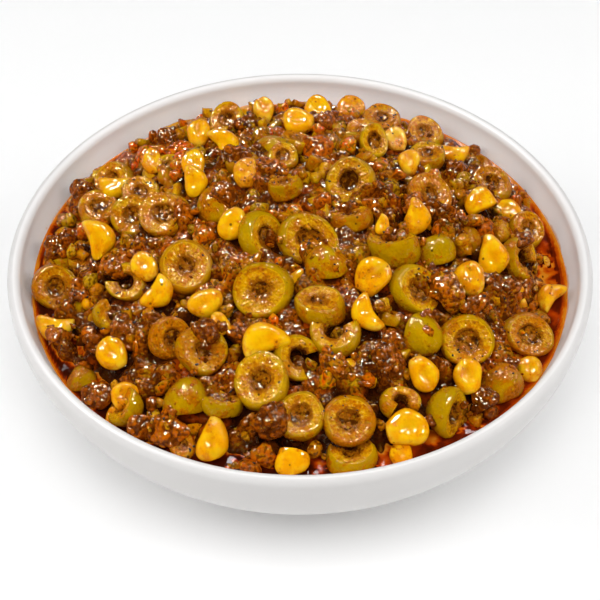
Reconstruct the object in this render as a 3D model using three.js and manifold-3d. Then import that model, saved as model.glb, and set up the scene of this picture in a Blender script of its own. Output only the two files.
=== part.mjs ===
// A round glazed bowl heaped with olive salad: sliced green olives, sweetcorn and spiced mince
// in a shallow pool of chilli oil. Millimetres, +Z up, origin at the middle of the foot's base.
// Three solids: the bowl, the salad as one heap out to its uneven outline, and the pool of oil
// that lies round it.
import * as THREE from 'three';
import { mergeVertices } from 'three/addons/utils/BufferGeometryUtils.js';
import Module from 'manifold-3d';

// Bowl
const RIM_RADIUS = 80;
const LIP_THICKNESS = 3.6;
const LIP_CENTRE_HEIGHT = 46.2;
const WALL_THICKNESS = 5.8;
const WALL_THICKENS_OVER = 6;
const FLOOR_TOP = 6;
const BODY_DEPTH = 50.4; // of the full curve, which the foot cuts short
const BODY_ROUNDNESS = 1.98; // exponent of the superellipse: 1 is a cone, 2 an ellipse
const FOOT_RADIUS = 40;
const FOOT_WIDTH = 4;
const FOOT_RECESS = 2;
const BOWL_SEGMENTS = 64;
const BODY_STEPS = 9;
const LIP_STEPS = 5;

// Contents
const OIL_LEVEL = 39.2;
const POOL_DEPTH = 4; // of the oil where it meets the wall
const HEAP_HEIGHT = 61.5; // of the mean surface at the middle, before its lumps
const HEAP_EDGE_INSET = 0.8; // of the waterline from where the heap leaves the wall
const HEAP_EDGE_WANDER = 3; // further in, on the side where the pool is widest
const POOL_SIDE = -0.9; // its direction from +X, in radians
const HEAP_ROUNDNESS = 2.2;
const HEAP_STEP = 3; // between the rings of points on the dome
const UNDERSIDE_STEP = 8; // between the points of a ring against the wall
const TOUCHING_GAP = 0.3;
const HEAP_CLEARANCE = 0.55; // upwards, which leaves the touching gap on its slopes

// Lumps: the olives and kernels that stand out of the heap
const LUMP_COUNT = 190;
const LUMP_RADIUS = [4.5, 8];
const LUMP_HEIGHT = [1.6, 4.2];
const LUMPS_REACH = 69.5;
const GOLDEN_ANGLE = Math.PI * (3 - Math.sqrt(5));

const COLOURS = { bowl: 0xf3f1ee, salad: 0x8f6a1c, oil: 0x5c1a05 };

/** A number from 0 to 1 that is always the same for the same seed. */
function hash(seed) {
  const value = Math.sin(seed * 12.9898 + 4.1414) * 43758.5453;
  return value - Math.floor(value);
}

/** The outside of the wall: its radius at a height below the lip. */
function outerRadius(height) {
  const drop = Math.max(0, LIP_CENTRE_HEIGHT - height) / BODY_DEPTH;
  return RIM_RADIUS * (1 - drop ** BODY_ROUNDNESS) ** (1 / BODY_ROUNDNESS);
}

/** Points down the outside of the wall, evenly spread in height, from the lip to the foot. */
function outerWall() {
  const foot = (FOOT_RADIUS / RIM_RADIUS) ** BODY_ROUNDNESS;
  const deepest = BODY_DEPTH * (1 - foot) ** (1 / BODY_ROUNDNESS);
  const points = [];
  for (let i = 0; i <= BODY_STEPS; i += 1) {
    const height = LIP_CENTRE_HEIGHT - deepest * (i / BODY_STEPS);
    points.push(new THREE.Vector2(outerRadius(height), height));
  }
  return points;
}

/** The wall's thickness at a distance below the lip, where it is thinner. */
function thicknessAt(drop) {
  const share = THREE.MathUtils.smoothstep(drop, 0, WALL_THICKENS_OVER);
  return THREE.MathUtils.lerp(LIP_THICKNESS, WALL_THICKNESS, share);
}

/** Points down the inside of the wall, which is the outside moved in by the thickness. */
function innerWall(gap = 0) {
  const outside = outerWall();
  return outside.map((point, i) => {
    const before = outside[Math.max(0, i - 1)];
    const after = outside[Math.min(outside.length - 1, i + 1)];
    const along = after.clone().sub(before).normalize();
    const inward = new THREE.Vector2(along.y, -along.x);
    const thickness = thicknessAt(LIP_CENTRE_HEIGHT - point.y);
    return point.clone().addScaledVector(inward, thickness + gap);
  });
}

/** The inside of the wall at a height, found between the points of the inner wall. */
function innerRadius(height, gap = 0) {
  const wall = innerWall(gap);
  const below = wall.findIndex((point) => point.y <= height);
  const share = (wall[below - 1].y - height) / (wall[below - 1].y - wall[below].y);
  return THREE.MathUtils.lerp(wall[below - 1].x, wall[below].x, share);
}

/** The same surface with its shared vertices merged, so that it is one closed body. */
function closed(geometry) {
  geometry.deleteAttribute('normal');
  geometry.deleteAttribute('uv');
  return mergeVertices(geometry, 1e-4);
}

/** Turns a profile of (radius, height) about the upright axis. */
function turn(profile, segments) {
  const geometry = new THREE.LatheGeometry(profile, segments);
  geometry.rotateX(Math.PI / 2);
  return closed(geometry);
}

/** The bowl's profile, from the middle underneath, out and up the wall, over the lip and in. */
function bowlProfile() {
  const lipRadius = LIP_THICKNESS / 2;
  const points = [
    new THREE.Vector2(0, FOOT_RECESS),
    new THREE.Vector2(FOOT_RADIUS - FOOT_WIDTH - FOOT_RECESS / 2, FOOT_RECESS),
    new THREE.Vector2(FOOT_RADIUS - FOOT_WIDTH, 0),
    new THREE.Vector2(FOOT_RADIUS, 0),
    ...outerWall().slice(1).reverse(),
  ];
  for (let i = 0; i <= LIP_STEPS; i += 1) {
    const angle = (Math.PI * i) / LIP_STEPS;
    points.push(new THREE.Vector2(
      RIM_RADIUS - lipRadius + lipRadius * Math.cos(angle),
      LIP_CENTRE_HEIGHT + lipRadius * Math.sin(angle),
    ));
  }
  const inside = innerWall().slice(1);
  points.push(...inside);
  points.push(new THREE.Vector2(inside.at(-1).x * 0.6, FLOOR_TOP));
  points.push(new THREE.Vector2(0, FLOOR_TOP));
  return points;
}

/** Every lump's place, radius and height, spread evenly over the heap by the golden angle. */
function lumps() {
  const made = [];
  for (let i = 0; i < LUMP_COUNT; i += 1) {
    const radius = LUMPS_REACH * Math.sqrt((i + 0.5) / LUMP_COUNT) + 3 * (hash(i) - 0.5);
    const angle = i * GOLDEN_ANGLE + 0.25 * (hash(i + 0.3) - 0.5);
    made.push({
      x: radius * Math.cos(angle),
      y: radius * Math.sin(angle),
      radius: THREE.MathUtils.lerp(...LUMP_RADIUS, hash(i + 0.6)),
      height: THREE.MathUtils.lerp(...LUMP_HEIGHT, hash(i + 0.9)),
    });
  }
  return made;
}

const LUMPS = lumps();

/** How far the lumps raise the heap at a point: the highest of the round tops there. */
function reliefAt(x, y) {
  let highest = 0;
  for (const lump of LUMPS) {
    const away = Math.hypot(x - lump.x, y - lump.y) / lump.radius;
    if (away < 1) {
      highest = Math.max(highest, lump.height * Math.sqrt(1 - away * away));
    }
  }
  return highest;
}

/** Where the heap leaves the wall, below the oil. */
function wallRadius() {
  return innerRadius(OIL_LEVEL - POOL_DEPTH, TOUCHING_GAP);
}

/** The waterline's radius in a direction from +X. */
function edgeRadius(angle) {
  const side = 0.5 + 0.5 * Math.cos(angle - POOL_SIDE);
  const wave = 0.5 + 0.5 * Math.sin(5 * angle + 2.1);
  return wallRadius() - HEAP_EDGE_INSET - HEAP_EDGE_WANDER * side * wave;
}

/** The heap's mean height: a dome down to the waterline, then a bank down to the wall. */
function meanHeight(radius, angle) {
  const edge = edgeRadius(angle);
  if (radius <= edge) {
    const share = (radius / edge) ** HEAP_ROUNDNESS;
    return OIL_LEVEL + (HEAP_HEIGHT - OIL_LEVEL) * (1 - share);
  }
  return OIL_LEVEL - (POOL_DEPTH * (radius - edge)) / (wallRadius() - edge);
}

/** The heap's height with its lumps, which fade out under the oil. */
function heapHeight(radius, angle) {
  const mean = meanHeight(radius, angle);
  const share = THREE.MathUtils.smoothstep(mean, OIL_LEVEL - POOL_DEPTH + 0.1, OIL_LEVEL);
  return mean + share * reliefAt(radius * Math.cos(angle), radius * Math.sin(angle));
}

/** A ring of points at a radius, each at the height that a function of its angle gives. */
function ring(radius, step, heightAt) {
  const count = radius === 0 ? 1 : Math.max(6, Math.round((2 * Math.PI * radius) / step));
  const points = [];
  for (let i = 0; i < count; i += 1) {
    const angle = (2 * Math.PI * i) / count;
    points.push([radius * Math.cos(angle), radius * Math.sin(angle), heightAt(angle)]);
  }
  return points;
}

/** Joins rings of any number of points into one surface that starts and ends on the axis. */
function surfaceOfRings(rings) {
  const starts = [];
  let total = 0;
  for (const points of rings) {
    starts.push(total);
    total += points.length;
  }
  const faces = [];
  for (let i = 1; i < rings.length; i += 1) {
    const [inner, outer] = [rings[i - 1].length, rings[i].length];
    const at = (which, index) => starts[which] + (index % rings[which].length);
    let [a, b] = [0, 0];
    while (a < inner || b < outer) {
      const nextOuter = inner === 1 || (outer > 1 && (b + 0.5) / outer <= (a + 0.5) / inner);
      if (b < outer && (nextOuter || a >= inner)) {
        faces.push(at(i - 1, a), at(i, b + 1), at(i, b));
        b += 1;
      } else if (a < inner) {
        if (inner > 1) {
          faces.push(at(i - 1, a), at(i - 1, a + 1), at(i, b));
        }
        a += 1;
      }
      if (inner === 1 && b >= outer) {
        a = inner;
      }
    }
  }
  const geometry = new THREE.BufferGeometry();
  geometry.setAttribute('position', new THREE.Float32BufferAttribute(rings.flat(2), 3));
  geometry.setIndex(faces);
  return geometry;
}

/** The heap: up the wall from the bottom of the bowl, then in over the lumpy dome. */
function heap() {
  const contact = OIL_LEVEL - POOL_DEPTH;
  const under = innerWall(TOUCHING_GAP).filter((point) => point.y < contact - 1).reverse();
  const bottom = FLOOR_TOP + TOUCHING_GAP;
  return surfaceOfRings([
    ring(0, UNDERSIDE_STEP, () => bottom),
    ring(under[0].x * 0.6, UNDERSIDE_STEP, () => bottom),
    ...under.map((point) => ring(point.x, UNDERSIDE_STEP, () => point.y)),
    ...domeRings(0),
  ]);
}

/** The room the oil leaves for the heap: its dome raised a little, and past the wall below. */
function roomForHeap() {
  const bottom = OIL_LEVEL - 3 * POOL_DEPTH;
  const past = RIM_RADIUS;
  return surfaceOfRings([
    ring(0, UNDERSIDE_STEP, () => bottom),
    ring(past, HEAP_STEP, () => bottom),
    ring(past, HEAP_STEP, () => OIL_LEVEL - POOL_DEPTH + HEAP_CLEARANCE),
    ...domeRings(HEAP_CLEARANCE),
  ]);
}

/** The rings of the dome from the wall to the middle, raised by a clearance. */
function domeRings(raised) {
  const edge = wallRadius() - HEAP_EDGE_INSET;
  const steps = Math.round(edge / HEAP_STEP);
  const radii = [wallRadius()];
  for (let i = steps; i >= 0; i -= 1) {
    radii.push((edge * i) / steps);
  }
  return radii.map((radius) => (
    ring(radius, HEAP_STEP, (angle) => heapHeight(radius, angle) + raised)
  ));
}

/** The oil before the salad is cut out of it: the bowl's inside from below the pool up. */
function poolBlank() {
  const bottom = OIL_LEVEL - 1.5 * POOL_DEPTH;
  const middle = (bottom + OIL_LEVEL) / 2;
  const profile = [
    new THREE.Vector2(0, bottom),
    new THREE.Vector2(innerRadius(bottom, TOUCHING_GAP), bottom),
    new THREE.Vector2(innerRadius(middle, TOUCHING_GAP), middle),
    new THREE.Vector2(innerRadius(OIL_LEVEL, TOUCHING_GAP), OIL_LEVEL),
    new THREE.Vector2(0, OIL_LEVEL),
  ];
  return turn(profile, BOWL_SEGMENTS);
}

/** A manifold-3d solid of a closed geometry. */
function solid(wasm, geometry) {
  return new wasm.Manifold(new wasm.Mesh({
    numProp: 3,
    vertProperties: new Float32Array(geometry.getAttribute('position').array),
    triVerts: new Uint32Array(geometry.index.array),
  }));
}

/** A three.js geometry of a manifold-3d solid's largest body. */
function geometryOf(manifold) {
  const bodies = manifold.decompose();
  bodies.sort((one, other) => other.volume() - one.volume());
  const mesh = bodies[0].getMesh();
  const geometry = new THREE.BufferGeometry();
  geometry.setAttribute('position', new THREE.BufferAttribute(mesh.vertProperties, 3));
  geometry.setIndex(new THREE.BufferAttribute(mesh.triVerts, 1));
  return geometry;
}

/** A named piece with its own finish. */
function piece(name, geometry, roughness) {
  const material = new THREE.MeshStandardMaterial({
    color: COLOURS[name],
    roughness,
    metalness: 0,
    flatShading: true,
  });
  const mesh = new THREE.Mesh(geometry, material);
  mesh.name = name;
  return mesh;
}

const wasm = await Module();
wasm.setup();

const bowl = turn(bowlProfile(), BOWL_SEGMENTS);
const salad = heap();
const oil = geometryOf(solid(wasm, poolBlank()).subtract(solid(wasm, roomForHeap())));

const group = new THREE.Group();
group.add(piece('bowl', bowl, 0.2));
group.add(piece('salad', salad, 0.4));
group.add(piece('oil', oil, 0.1));

export default group;
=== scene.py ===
"""A round glazed bowl heaped with olive salad, dressed for a studio picture.

The heap is laid piece by piece. Sliced olives and sweetcorn kernels are set in their places on
a dome, chopped bits and crumbs of mince are dropped into the lowest hollows between them, and
a sauce wets what is left. A narrow pool of chilli oil lies round it against the bowl's wall.
Sizes are in millimetres until a piece is finished, which scales it to metres.
"""

import logging
import math
from dataclasses import dataclass, field
from enum import Enum
from typing import Sequence, Union

import bmesh
import bpy
import numpy as np
from mathutils import Matrix, Vector


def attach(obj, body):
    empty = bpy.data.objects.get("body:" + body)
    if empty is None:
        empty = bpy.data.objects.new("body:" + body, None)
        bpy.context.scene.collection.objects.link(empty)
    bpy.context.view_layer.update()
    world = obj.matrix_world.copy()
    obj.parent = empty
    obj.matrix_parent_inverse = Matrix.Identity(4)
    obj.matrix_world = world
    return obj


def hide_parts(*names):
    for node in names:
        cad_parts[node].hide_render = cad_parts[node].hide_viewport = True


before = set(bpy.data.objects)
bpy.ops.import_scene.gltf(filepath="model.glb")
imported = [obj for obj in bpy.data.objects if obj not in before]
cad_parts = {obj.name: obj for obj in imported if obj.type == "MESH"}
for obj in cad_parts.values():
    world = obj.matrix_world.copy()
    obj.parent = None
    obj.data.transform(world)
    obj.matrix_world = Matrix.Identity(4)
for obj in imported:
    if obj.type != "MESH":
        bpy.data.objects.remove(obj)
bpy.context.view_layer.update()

LOG = logging.getLogger("olive_salad")
MM = 0.001

Array = np.ndarray
Colour = tuple[float, float, float]
Socket = bpy.types.NodeSocket
Value = Union[bpy.types.NodeSocket, float, Colour]

PEPPER: Colour = (0.03, 0.012, 0.004)


def smooth(value: Array, low: float, high: float) -> Array:
    """Eases value from 0 at low to 1 at high."""
    share = np.clip((value - low) / (high - low), 0, 1)
    return share * share * (3 - 2 * share)


# ---- The bowl's curves and the heap's dome, which every piece is fitted to ----


@dataclass(frozen=True)
class BowlShape:
    """The sizes of the bowl, in millimetres, and the curves that follow from them."""

    rim_radius: float = 80.0
    lip_thickness: float = 3.6
    lip_height: float = 46.2
    wall_thickness: float = 5.8
    thickens_over: float = 12.0
    floor_top: float = 6.0
    body_depth: float = 50.4
    roundness: float = 1.98
    foot_radius: float = 40.0
    foot_width: float = 4.0
    foot_recess: float = 2.0
    curve_steps: int = 60

    def outer_radius(self, height: Array) -> Array:
        """The outside radius of the wall at heights above the table."""
        drop = np.clip(self.lip_height - height, 0, None) / self.body_depth
        return self.rim_radius * (1 - drop**self.roundness) ** (1 / self.roundness)

    def body_bottom(self) -> float:
        """The height at which the body's curve meets the foot ring."""
        share = (self.foot_radius / self.rim_radius) ** self.roundness
        return self.lip_height - self.body_depth * (1 - share) ** (1 / self.roundness)

    def outside(self, steps: int) -> Array:
        """Points (radius, height) down the outside of the wall, in a number of steps."""
        height = np.linspace(self.lip_height, self.body_bottom(), steps + 1)
        return np.stack([self.outer_radius(height), height], 1)

    def inside(self, steps: int) -> Array:
        """Points (radius, height) down the inside of the wall.

        Args:
            steps: How many stretches the curve is cut into.

        Returns:
            An array of steps + 1 rows, from the lip down.
        """
        outer = self.outside(steps)
        along = np.gradient(outer, axis=0)
        along /= np.linalg.norm(along, axis=1, keepdims=True)
        inward = np.stack([along[:, 1], -along[:, 0]], 1)
        share = smooth(self.lip_height - outer[:, 1], 0, self.thickens_over)
        thick = self.lip_thickness + (self.wall_thickness - self.lip_thickness) * share
        return outer + inward * thick[:, None]

    def wall_height(self, radius: Array) -> Array:
        """The height of the wall's inside at distances from the bowl's axis."""
        inner = self.inside(self.curve_steps)[::-1]
        return np.interp(radius, inner[:, 0], inner[:, 1])

    def wall_radius(self, height: Array) -> Array:
        """The radius of the wall's inside at heights above the table."""
        inner = self.inside(self.curve_steps)[::-1]
        return np.interp(height, inner[:, 1], inner[:, 0])


@dataclass(frozen=True)
class HeapShape:
    """The dome that the tops of the pieces follow, and the level of the oil."""

    oil_level: float = 39.2
    edge_height: float = 41.8
    middle_height: float = 62.4
    edge_radius: float = 72.5
    roundness: float = 2.2
    highest: float = 64.5

    def top(self, x: Array, y: Array) -> Array:
        """The height that the tops of the pieces follow over points of the plan."""
        share = np.clip(np.hypot(x, y) / self.edge_radius, 0, 1.05) ** self.roundness
        return self.edge_height + (self.middle_height - self.edge_height) * (1 - share)


BOWL = BowlShape()
HEAP = HeapShape()


# ---- Small helpers for random shapes ----


class Wobble:
    """A smooth random field made of a few sine waves, for making shapes uneven."""

    def __init__(self, rng: np.random.Generator, size: float, waves: int = 7) -> None:
        """Draws the waves.

        Args:
            rng: Where the random numbers come from.
            size: The typical distance between two bumps.
            waves: How many waves are added up.
        """
        heading = rng.normal(size=(waves, 3))
        heading /= np.linalg.norm(heading, axis=1, keepdims=True)
        self.waves = heading * (2 * math.pi / size) * rng.uniform(0.7, 1.4, (waves, 1))
        self.phases = rng.uniform(0, 2 * math.pi, waves)

    def at(self, points: Array) -> Array:
        """The field's value, about -1 to 1, at each point."""
        waves = np.sin(points @ self.waves.T + self.phases)
        return waves.sum(1) / math.sqrt(2 * len(self.phases))


def lattice(rng: np.random.Generator, x: Array, y: Array, size: float, reach: float = 90.0) -> Array:
    """Smooth random values over the plan, from 0 to 1.

    Args:
        rng: Where the random numbers come from.
        x: Positions across.
        y: Positions away from the viewer.
        size: The distance between two independent values.
        reach: How far from the middle the positions may be.

    Returns:
        One value for each position.
    """
    count = int(2 * reach / size) + 3
    grid = rng.random((count, count))
    u, v = (x + reach) / size, (y + reach) / size
    i, j = np.floor(u).astype(int), np.floor(v).astype(int)
    s, t = smooth(u - i, 0, 1), smooth(v - j, 0, 1)
    low = grid[i, j] * (1 - s) + grid[i + 1, j] * s
    high = grid[i, j + 1] * (1 - s) + grid[i + 1, j + 1] * s
    return low * (1 - t) + high * t


def facing(azimuth: float, elevation: float, spin: float = 0.0) -> Array:
    """A turn that points a piece's own z axis in a direction.

    Args:
        azimuth: Degrees from the viewer, towards the viewer's right.
        elevation: Degrees above the horizon; past 90 it leans away.
        spin: Degrees that the piece turns about its own axis first.

    Returns:
        A 3 by 3 rotation.
    """
    turn = Matrix.Rotation(math.radians(azimuth), 3, "Z")
    lean = Matrix.Rotation(math.radians(90 - elevation), 3, "X")
    return np.array(turn @ lean @ Matrix.Rotation(math.radians(spin), 3, "Z"))


def random_turn(rng: np.random.Generator) -> Array:
    """A rotation with no favourite direction.

    Args:
        rng: Where the random numbers come from.

    Returns:
        A 3 by 3 rotation.
    """
    q = rng.normal(size=4)
    q /= np.linalg.norm(q)
    w, x, y, z = q
    return np.array(
        [
            [1 - 2 * (y * y + z * z), 2 * (x * y - z * w), 2 * (x * z + y * w)],
            [2 * (x * y + z * w), 1 - 2 * (x * x + z * z), 2 * (y * z - x * w)],
            [2 * (x * z - y * w), 2 * (y * z + x * w), 1 - 2 * (x * x + y * y)],
        ]
    )


# ---- Shapes of single pieces ----


@dataclass
class Shape:
    """One piece's mesh about its own centre: corners, faces and what each corner is.

    The look has four numbers for each corner: the piece's own tint, how much sauce coats it,
    how much of it is cut flesh, and how deep in a hollow it is. Own keeps where each corner is
    on the piece itself, however it is turned, for patterns that belong to the piece.
    """

    corners: Array
    faces: list[tuple[int, ...]]
    look: Array
    own: Array

    def copy(self) -> "Shape":
        """The same shape, free to be changed."""
        return Shape(self.corners.copy(), self.faces, self.look.copy(), self.own)

    def at(self, corners: Array) -> "Shape":
        """The shape with its corners put elsewhere."""
        return Shape(corners, self.faces, self.look, self.own)

    def turned(self, rotation: Array) -> "Shape":
        """The shape turned about its centre."""
        return self.at(self.corners @ rotation.T)

    def moved(self, x: float, y: float, z: float) -> "Shape":
        """The shape moved by a step."""
        return self.at(self.corners + np.array([x, y, z]))

    def radii(self) -> Array:
        """How far each corner is from the z axis."""
        return np.hypot(self.corners[:, 0], self.corners[:, 1])


def shape_from(bm: bmesh.types.BMesh) -> Shape:
    """Reads a mesh into a shape.

    Args:
        bm: The mesh, which is freed.

    Returns:
        The shape, with no look yet.
    """
    bm.verts.index_update()
    corners = np.array([v.co[:] for v in bm.verts])
    faces = [tuple(v.index for v in f.verts) for f in bm.faces]
    bm.free()
    return Shape(corners, faces, np.zeros((len(corners), 4)), corners.copy())


def spun(profile: Sequence[tuple[float, float]], steps: int, around: float = 360.0) -> bmesh.types.BMesh:
    """Spins a profile of (radius, height) about the z axis.

    Args:
        profile: The points of the profile; a closed one repeats its first point.
        steps: How many sides a full turn has.
        around: How many degrees the spin goes through.

    Returns:
        The spun mesh, with faces outwards and open ends filled.
    """
    bm = bmesh.new()
    loop = profile[0] == profile[-1]
    points = profile[:-1] if loop else profile
    chain = [bm.verts.new((r, 0.0, z)) for r, z in points]
    edges = [bm.edges.new(pair) for pair in zip(chain, chain[1:])]
    if loop:
        edges.append(bm.edges.new((chain[-1], chain[0])))
    whole = around >= 359.9
    bmesh.ops.spin(
        bm,
        geom=chain + edges,
        axis=(0, 0, 1),
        cent=(0, 0, 0),
        angle=math.radians(360.0 if whole else around),
        steps=steps if whole else max(4, round(steps * around / 360)),
        use_merge=whole,
    )
    bmesh.ops.remove_doubles(bm, verts=bm.verts[:], dist=1e-4)
    if not whole:
        ends = [e for e in bm.edges if e.is_boundary]
        bmesh.ops.holes_fill(bm, edges=ends, sides=0)
        bmesh.ops.triangulate(bm, faces=[f for f in bm.faces if len(f.verts) > 4])
    bmesh.ops.recalc_face_normals(bm, faces=bm.faces[:])
    return bm


def ball(fineness: int) -> Shape:
    """A ball, which bits and clods start from.

    Args:
        fineness: How many times its faces are split.

    Returns:
        The ball, of radius 1.
    """
    bm = bmesh.new()
    bmesh.ops.create_icosphere(bm, subdivisions=fineness, radius=1.0)
    return shape_from(bm)


class Cut(Enum):
    """How an olive was cut."""

    RING = "ring"
    OPEN_RING = "open ring"
    END = "end"


@dataclass
class OliveMaker:
    """Makes sliced, pitted green olives.

    A side is half of a ring's section, from the bowed skin over the rounded rim to the sunken
    face, as shares of the radius and of half the thickness.
    """

    hole_share: float = 0.33
    sides: int = 40
    coarse: bool = False
    fine_side: tuple[tuple[float, float], ...] = (
        (0.996, 0.28), (0.978, 0.56), (0.944, 0.80), (0.905, 0.94), (0.865, 1.00),
        (0.825, 0.99), (0.79, 0.94), (0.75, 0.88), (0.66, 0.85), (0.56, 0.84),
    )
    coarse_side: tuple[tuple[float, float], ...] = ((0.97, 0.6), (0.87, 1.0), (0.76, 0.88), (0.58, 0.84))
    under_skin: tuple[tuple[float, float], ...] = ((0.8, 0.9), (0.88, 1.0), (0.955, 0.76), (0.99, 0.36))
    hole_edge: tuple[tuple[float, float], ...] = ((1.22, 0.80), (1.07, 0.68), (1.0, 0.45))
    end_rim: tuple[tuple[float, float], ...] = (
        (0.985, 0.45), (0.94, 0.85), (0.885, 0.95), (0.83, 0.80), (0.72, 0.55), (0.56, 0.50),
    )
    end_pit: tuple[tuple[float, float], ...] = ((0.9, 0.16), (0.5, 0.20), (0.0, 0.21))

    def face(self, radius: float, half: float, hole: float) -> list[tuple[float, float]]:
        """One side of a ring of a radius, half thickness and hole radius, from the skin inwards."""
        side = self.coarse_side if self.coarse else self.fine_side
        return [(r * radius, z * half) for r, z in side] + [(hole * r, z * half) for r, z in self.hole_edge]

    def ring(
        self, radius: float, thickness: float, gap: float, fill: float, rng: np.random.Generator
    ) -> Shape:
        """One slice from the middle of an olive.

        Args:
            radius: Its outside radius.
            thickness: How thick it was cut.
            gap: Degrees of it that are missing, for one that is torn open.
            fill: How high sauce stands in the hole, as a share of half the thickness.
            rng: Where the random numbers come from.

        Returns:
            The slice, lying flat about its centre.
        """
        half = thickness / 2
        hole = radius * self.hole_share * rng.uniform(0.85, 1.2)
        upper = self.face(radius, half, hole)
        if gap > 0:
            lower = [(r, -z) for r, z in reversed(upper)]
            profile = [(radius, 0.0), *upper, *lower, (radius, 0.0)]
        else:
            level = half * fill
            plug = [(0.0, level - 0.1), (hole * 0.4, level - 0.08), (hole * 0.75, level)]
            plug.append((hole * 0.93, level + 0.22))
            skin = [(radius * r, -half * z) for r, z in reversed(self.under_skin)]
            under = [(radius * 0.55, -half * 0.84), (hole, -half * 0.5), (0.0, -half * 0.4)]
            profile = [*plug, *reversed(upper), (radius, 0.0), *skin, *under]
        shape = shape_from(spun(profile, self.sides, 360 - gap))
        r = shape.radii()
        shape.look[:, 2] = 1 - smooth(r, radius * 0.76, radius * 0.84)
        # marks the hole as hollow; the finish paints it as sauce paste and, deeper, near-black: partly real
        # sauce, partly painted shade in the open hole
        shape.look[:, 3] = (1 - smooth(r, hole, hole * 1.5)) * (1 - 0.6 * fill * (gap == 0))
        if gap > 0:
            turn = np.array(Matrix.Rotation(math.radians(gap / 2), 3, "Z"))
            shape.corners = shape.corners @ turn.T
        return self.uneven(shape, radius, rng)

    def chip(self, radius: float, thickness: float, span: float, rng: np.random.Generator) -> Shape:
        """A chopped bit of olive: a short arc of a thin ring.

        Args:
            radius: The radius of the olive that it came from.
            thickness: How thick it was cut.
            span: How many degrees of the ring it is.
            rng: Where the random numbers come from.

        Returns:
            The chip about its own middle.
        """
        half, inner = thickness / 2, radius * rng.uniform(0.35, 0.6)
        edge = [(radius, 0.0), (radius * 0.97, half * 0.7), (radius * 0.88, half), (inner + 0.5, half * 0.9)]
        profile = [*edge, (inner, 0.0), *[(r, -z) for r, z in reversed(edge)]]
        shape = shape_from(spun(profile, 30, span))
        shape.look[:, 2] = 1 - smooth(shape.radii(), radius * 0.84, radius * 0.9)
        middle = math.radians(span / 2)
        away = (radius + inner) / 2
        shape.corners -= np.array([away * math.cos(middle), away * math.sin(middle), 0.0])
        c = shape.corners
        c += 0.35 * np.stack([Wobble(rng, 3.0).at(c) for _ in range(3)], 1)
        shape.own = c.copy()
        return shape

    def end(self, radius: float, length: float, rng: np.random.Generator) -> Shape:
        """The rounded end of an olive, with the hollow of its stone in the cut face.

        Args:
            radius: Its radius at the cut.
            length: From the cut face to the tip.
            rng: Where the random numbers come from.

        Returns:
            The end, with its cut face up and its tip down.
        """
        hole = radius * self.hole_share * rng.uniform(0.95, 1.35)
        rows = 6 if self.coarse else 11
        points = [(0.0, -length)]
        for i in range(1, rows):
            angle = math.pi / 2 * i / rows
            points.append((radius * math.sin(angle) ** 0.94, -length * math.cos(angle) ** 1.08))
        points.append((radius * 0.998, -length * 0.04))
        points += [(radius * r, z) for r, z in self.end_rim]
        points += [(hole * 1.2, 0.40), (hole, -0.1)]
        points += [(hole * r, -length * z) for r, z in self.end_pit]
        shape = shape_from(spun(points, self.sides))
        r, z = shape.radii(), shape.corners[:, 2]
        inside = (z > -length * 0.22) & ((r < radius * 0.9) & (z > -0.2) | (r < hole * 1.3))
        shape.look[:, 2] = np.where(inside, 1 - smooth(r, radius * 0.78, radius * 0.88), 0)
        # marks the stone's pit as hollow; the finish paints it dark: partly sauce, partly painted shade
        shape.look[:, 3] = np.where(inside, 0.8 - 0.8 * smooth(r, hole, hole * 1.5), 0)
        shape.corners[:, 2] += length * 0.42
        return self.uneven(shape, radius, rng)

    def uneven(self, shape: Shape, radius: float, rng: np.random.Generator) -> Shape:
        """Makes a slice oval, warped and lumpy, as soft fruit is.

        Args:
            shape: The even slice, which is changed.
            radius: Its radius.
            rng: Where the random numbers come from.

        Returns:
            The same shape.
        """
        c = shape.corners
        shape.own = c.copy()
        c[:, 1] *= rng.uniform(0.88, 1.0)
        shear = rng.uniform(-0.16, 0.16, 2)
        c[:, 0] += shear[0] * c[:, 2]
        c[:, 1] += shear[1] * c[:, 2]
        c[:, 2] += rng.uniform(-0.014, 0.014) * (c[:, 0] ** 2 - c[:, 1] ** 2)
        big, small = Wobble(rng, radius * 1.4), Wobble(rng, 2.0)
        outward = c / np.maximum(np.linalg.norm(c, axis=1, keepdims=True), 0.5)
        c += outward * (0.32 * big.at(c) + 0.05 * small.at(c))[:, None]
        c[:, 2] += np.sign(c[:, 2]) * shape.look[:, 2] * 0.16 * Wobble(rng, 1.7).at(c)
        return shape


class Kernel(Enum):
    """The forms of sweetcorn kernels: width, thickness, tip, bend, dent and where they are cut."""

    TOOTH = (0.78, 0.58, 0.66, 0.12, 0.44, -0.72)
    BEAN = (0.62, 0.58, 0.84, 0.52, 0.22, -0.9)
    HALF = (0.86, 0.54, 0.92, 0.30, 0.20, -0.30)
    DROP = (0.68, 0.62, 0.54, 0.26, 0.30, -0.9)
    ROUND = (0.82, 0.70, 0.76, 0.10, 0.40, -0.9)


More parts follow.
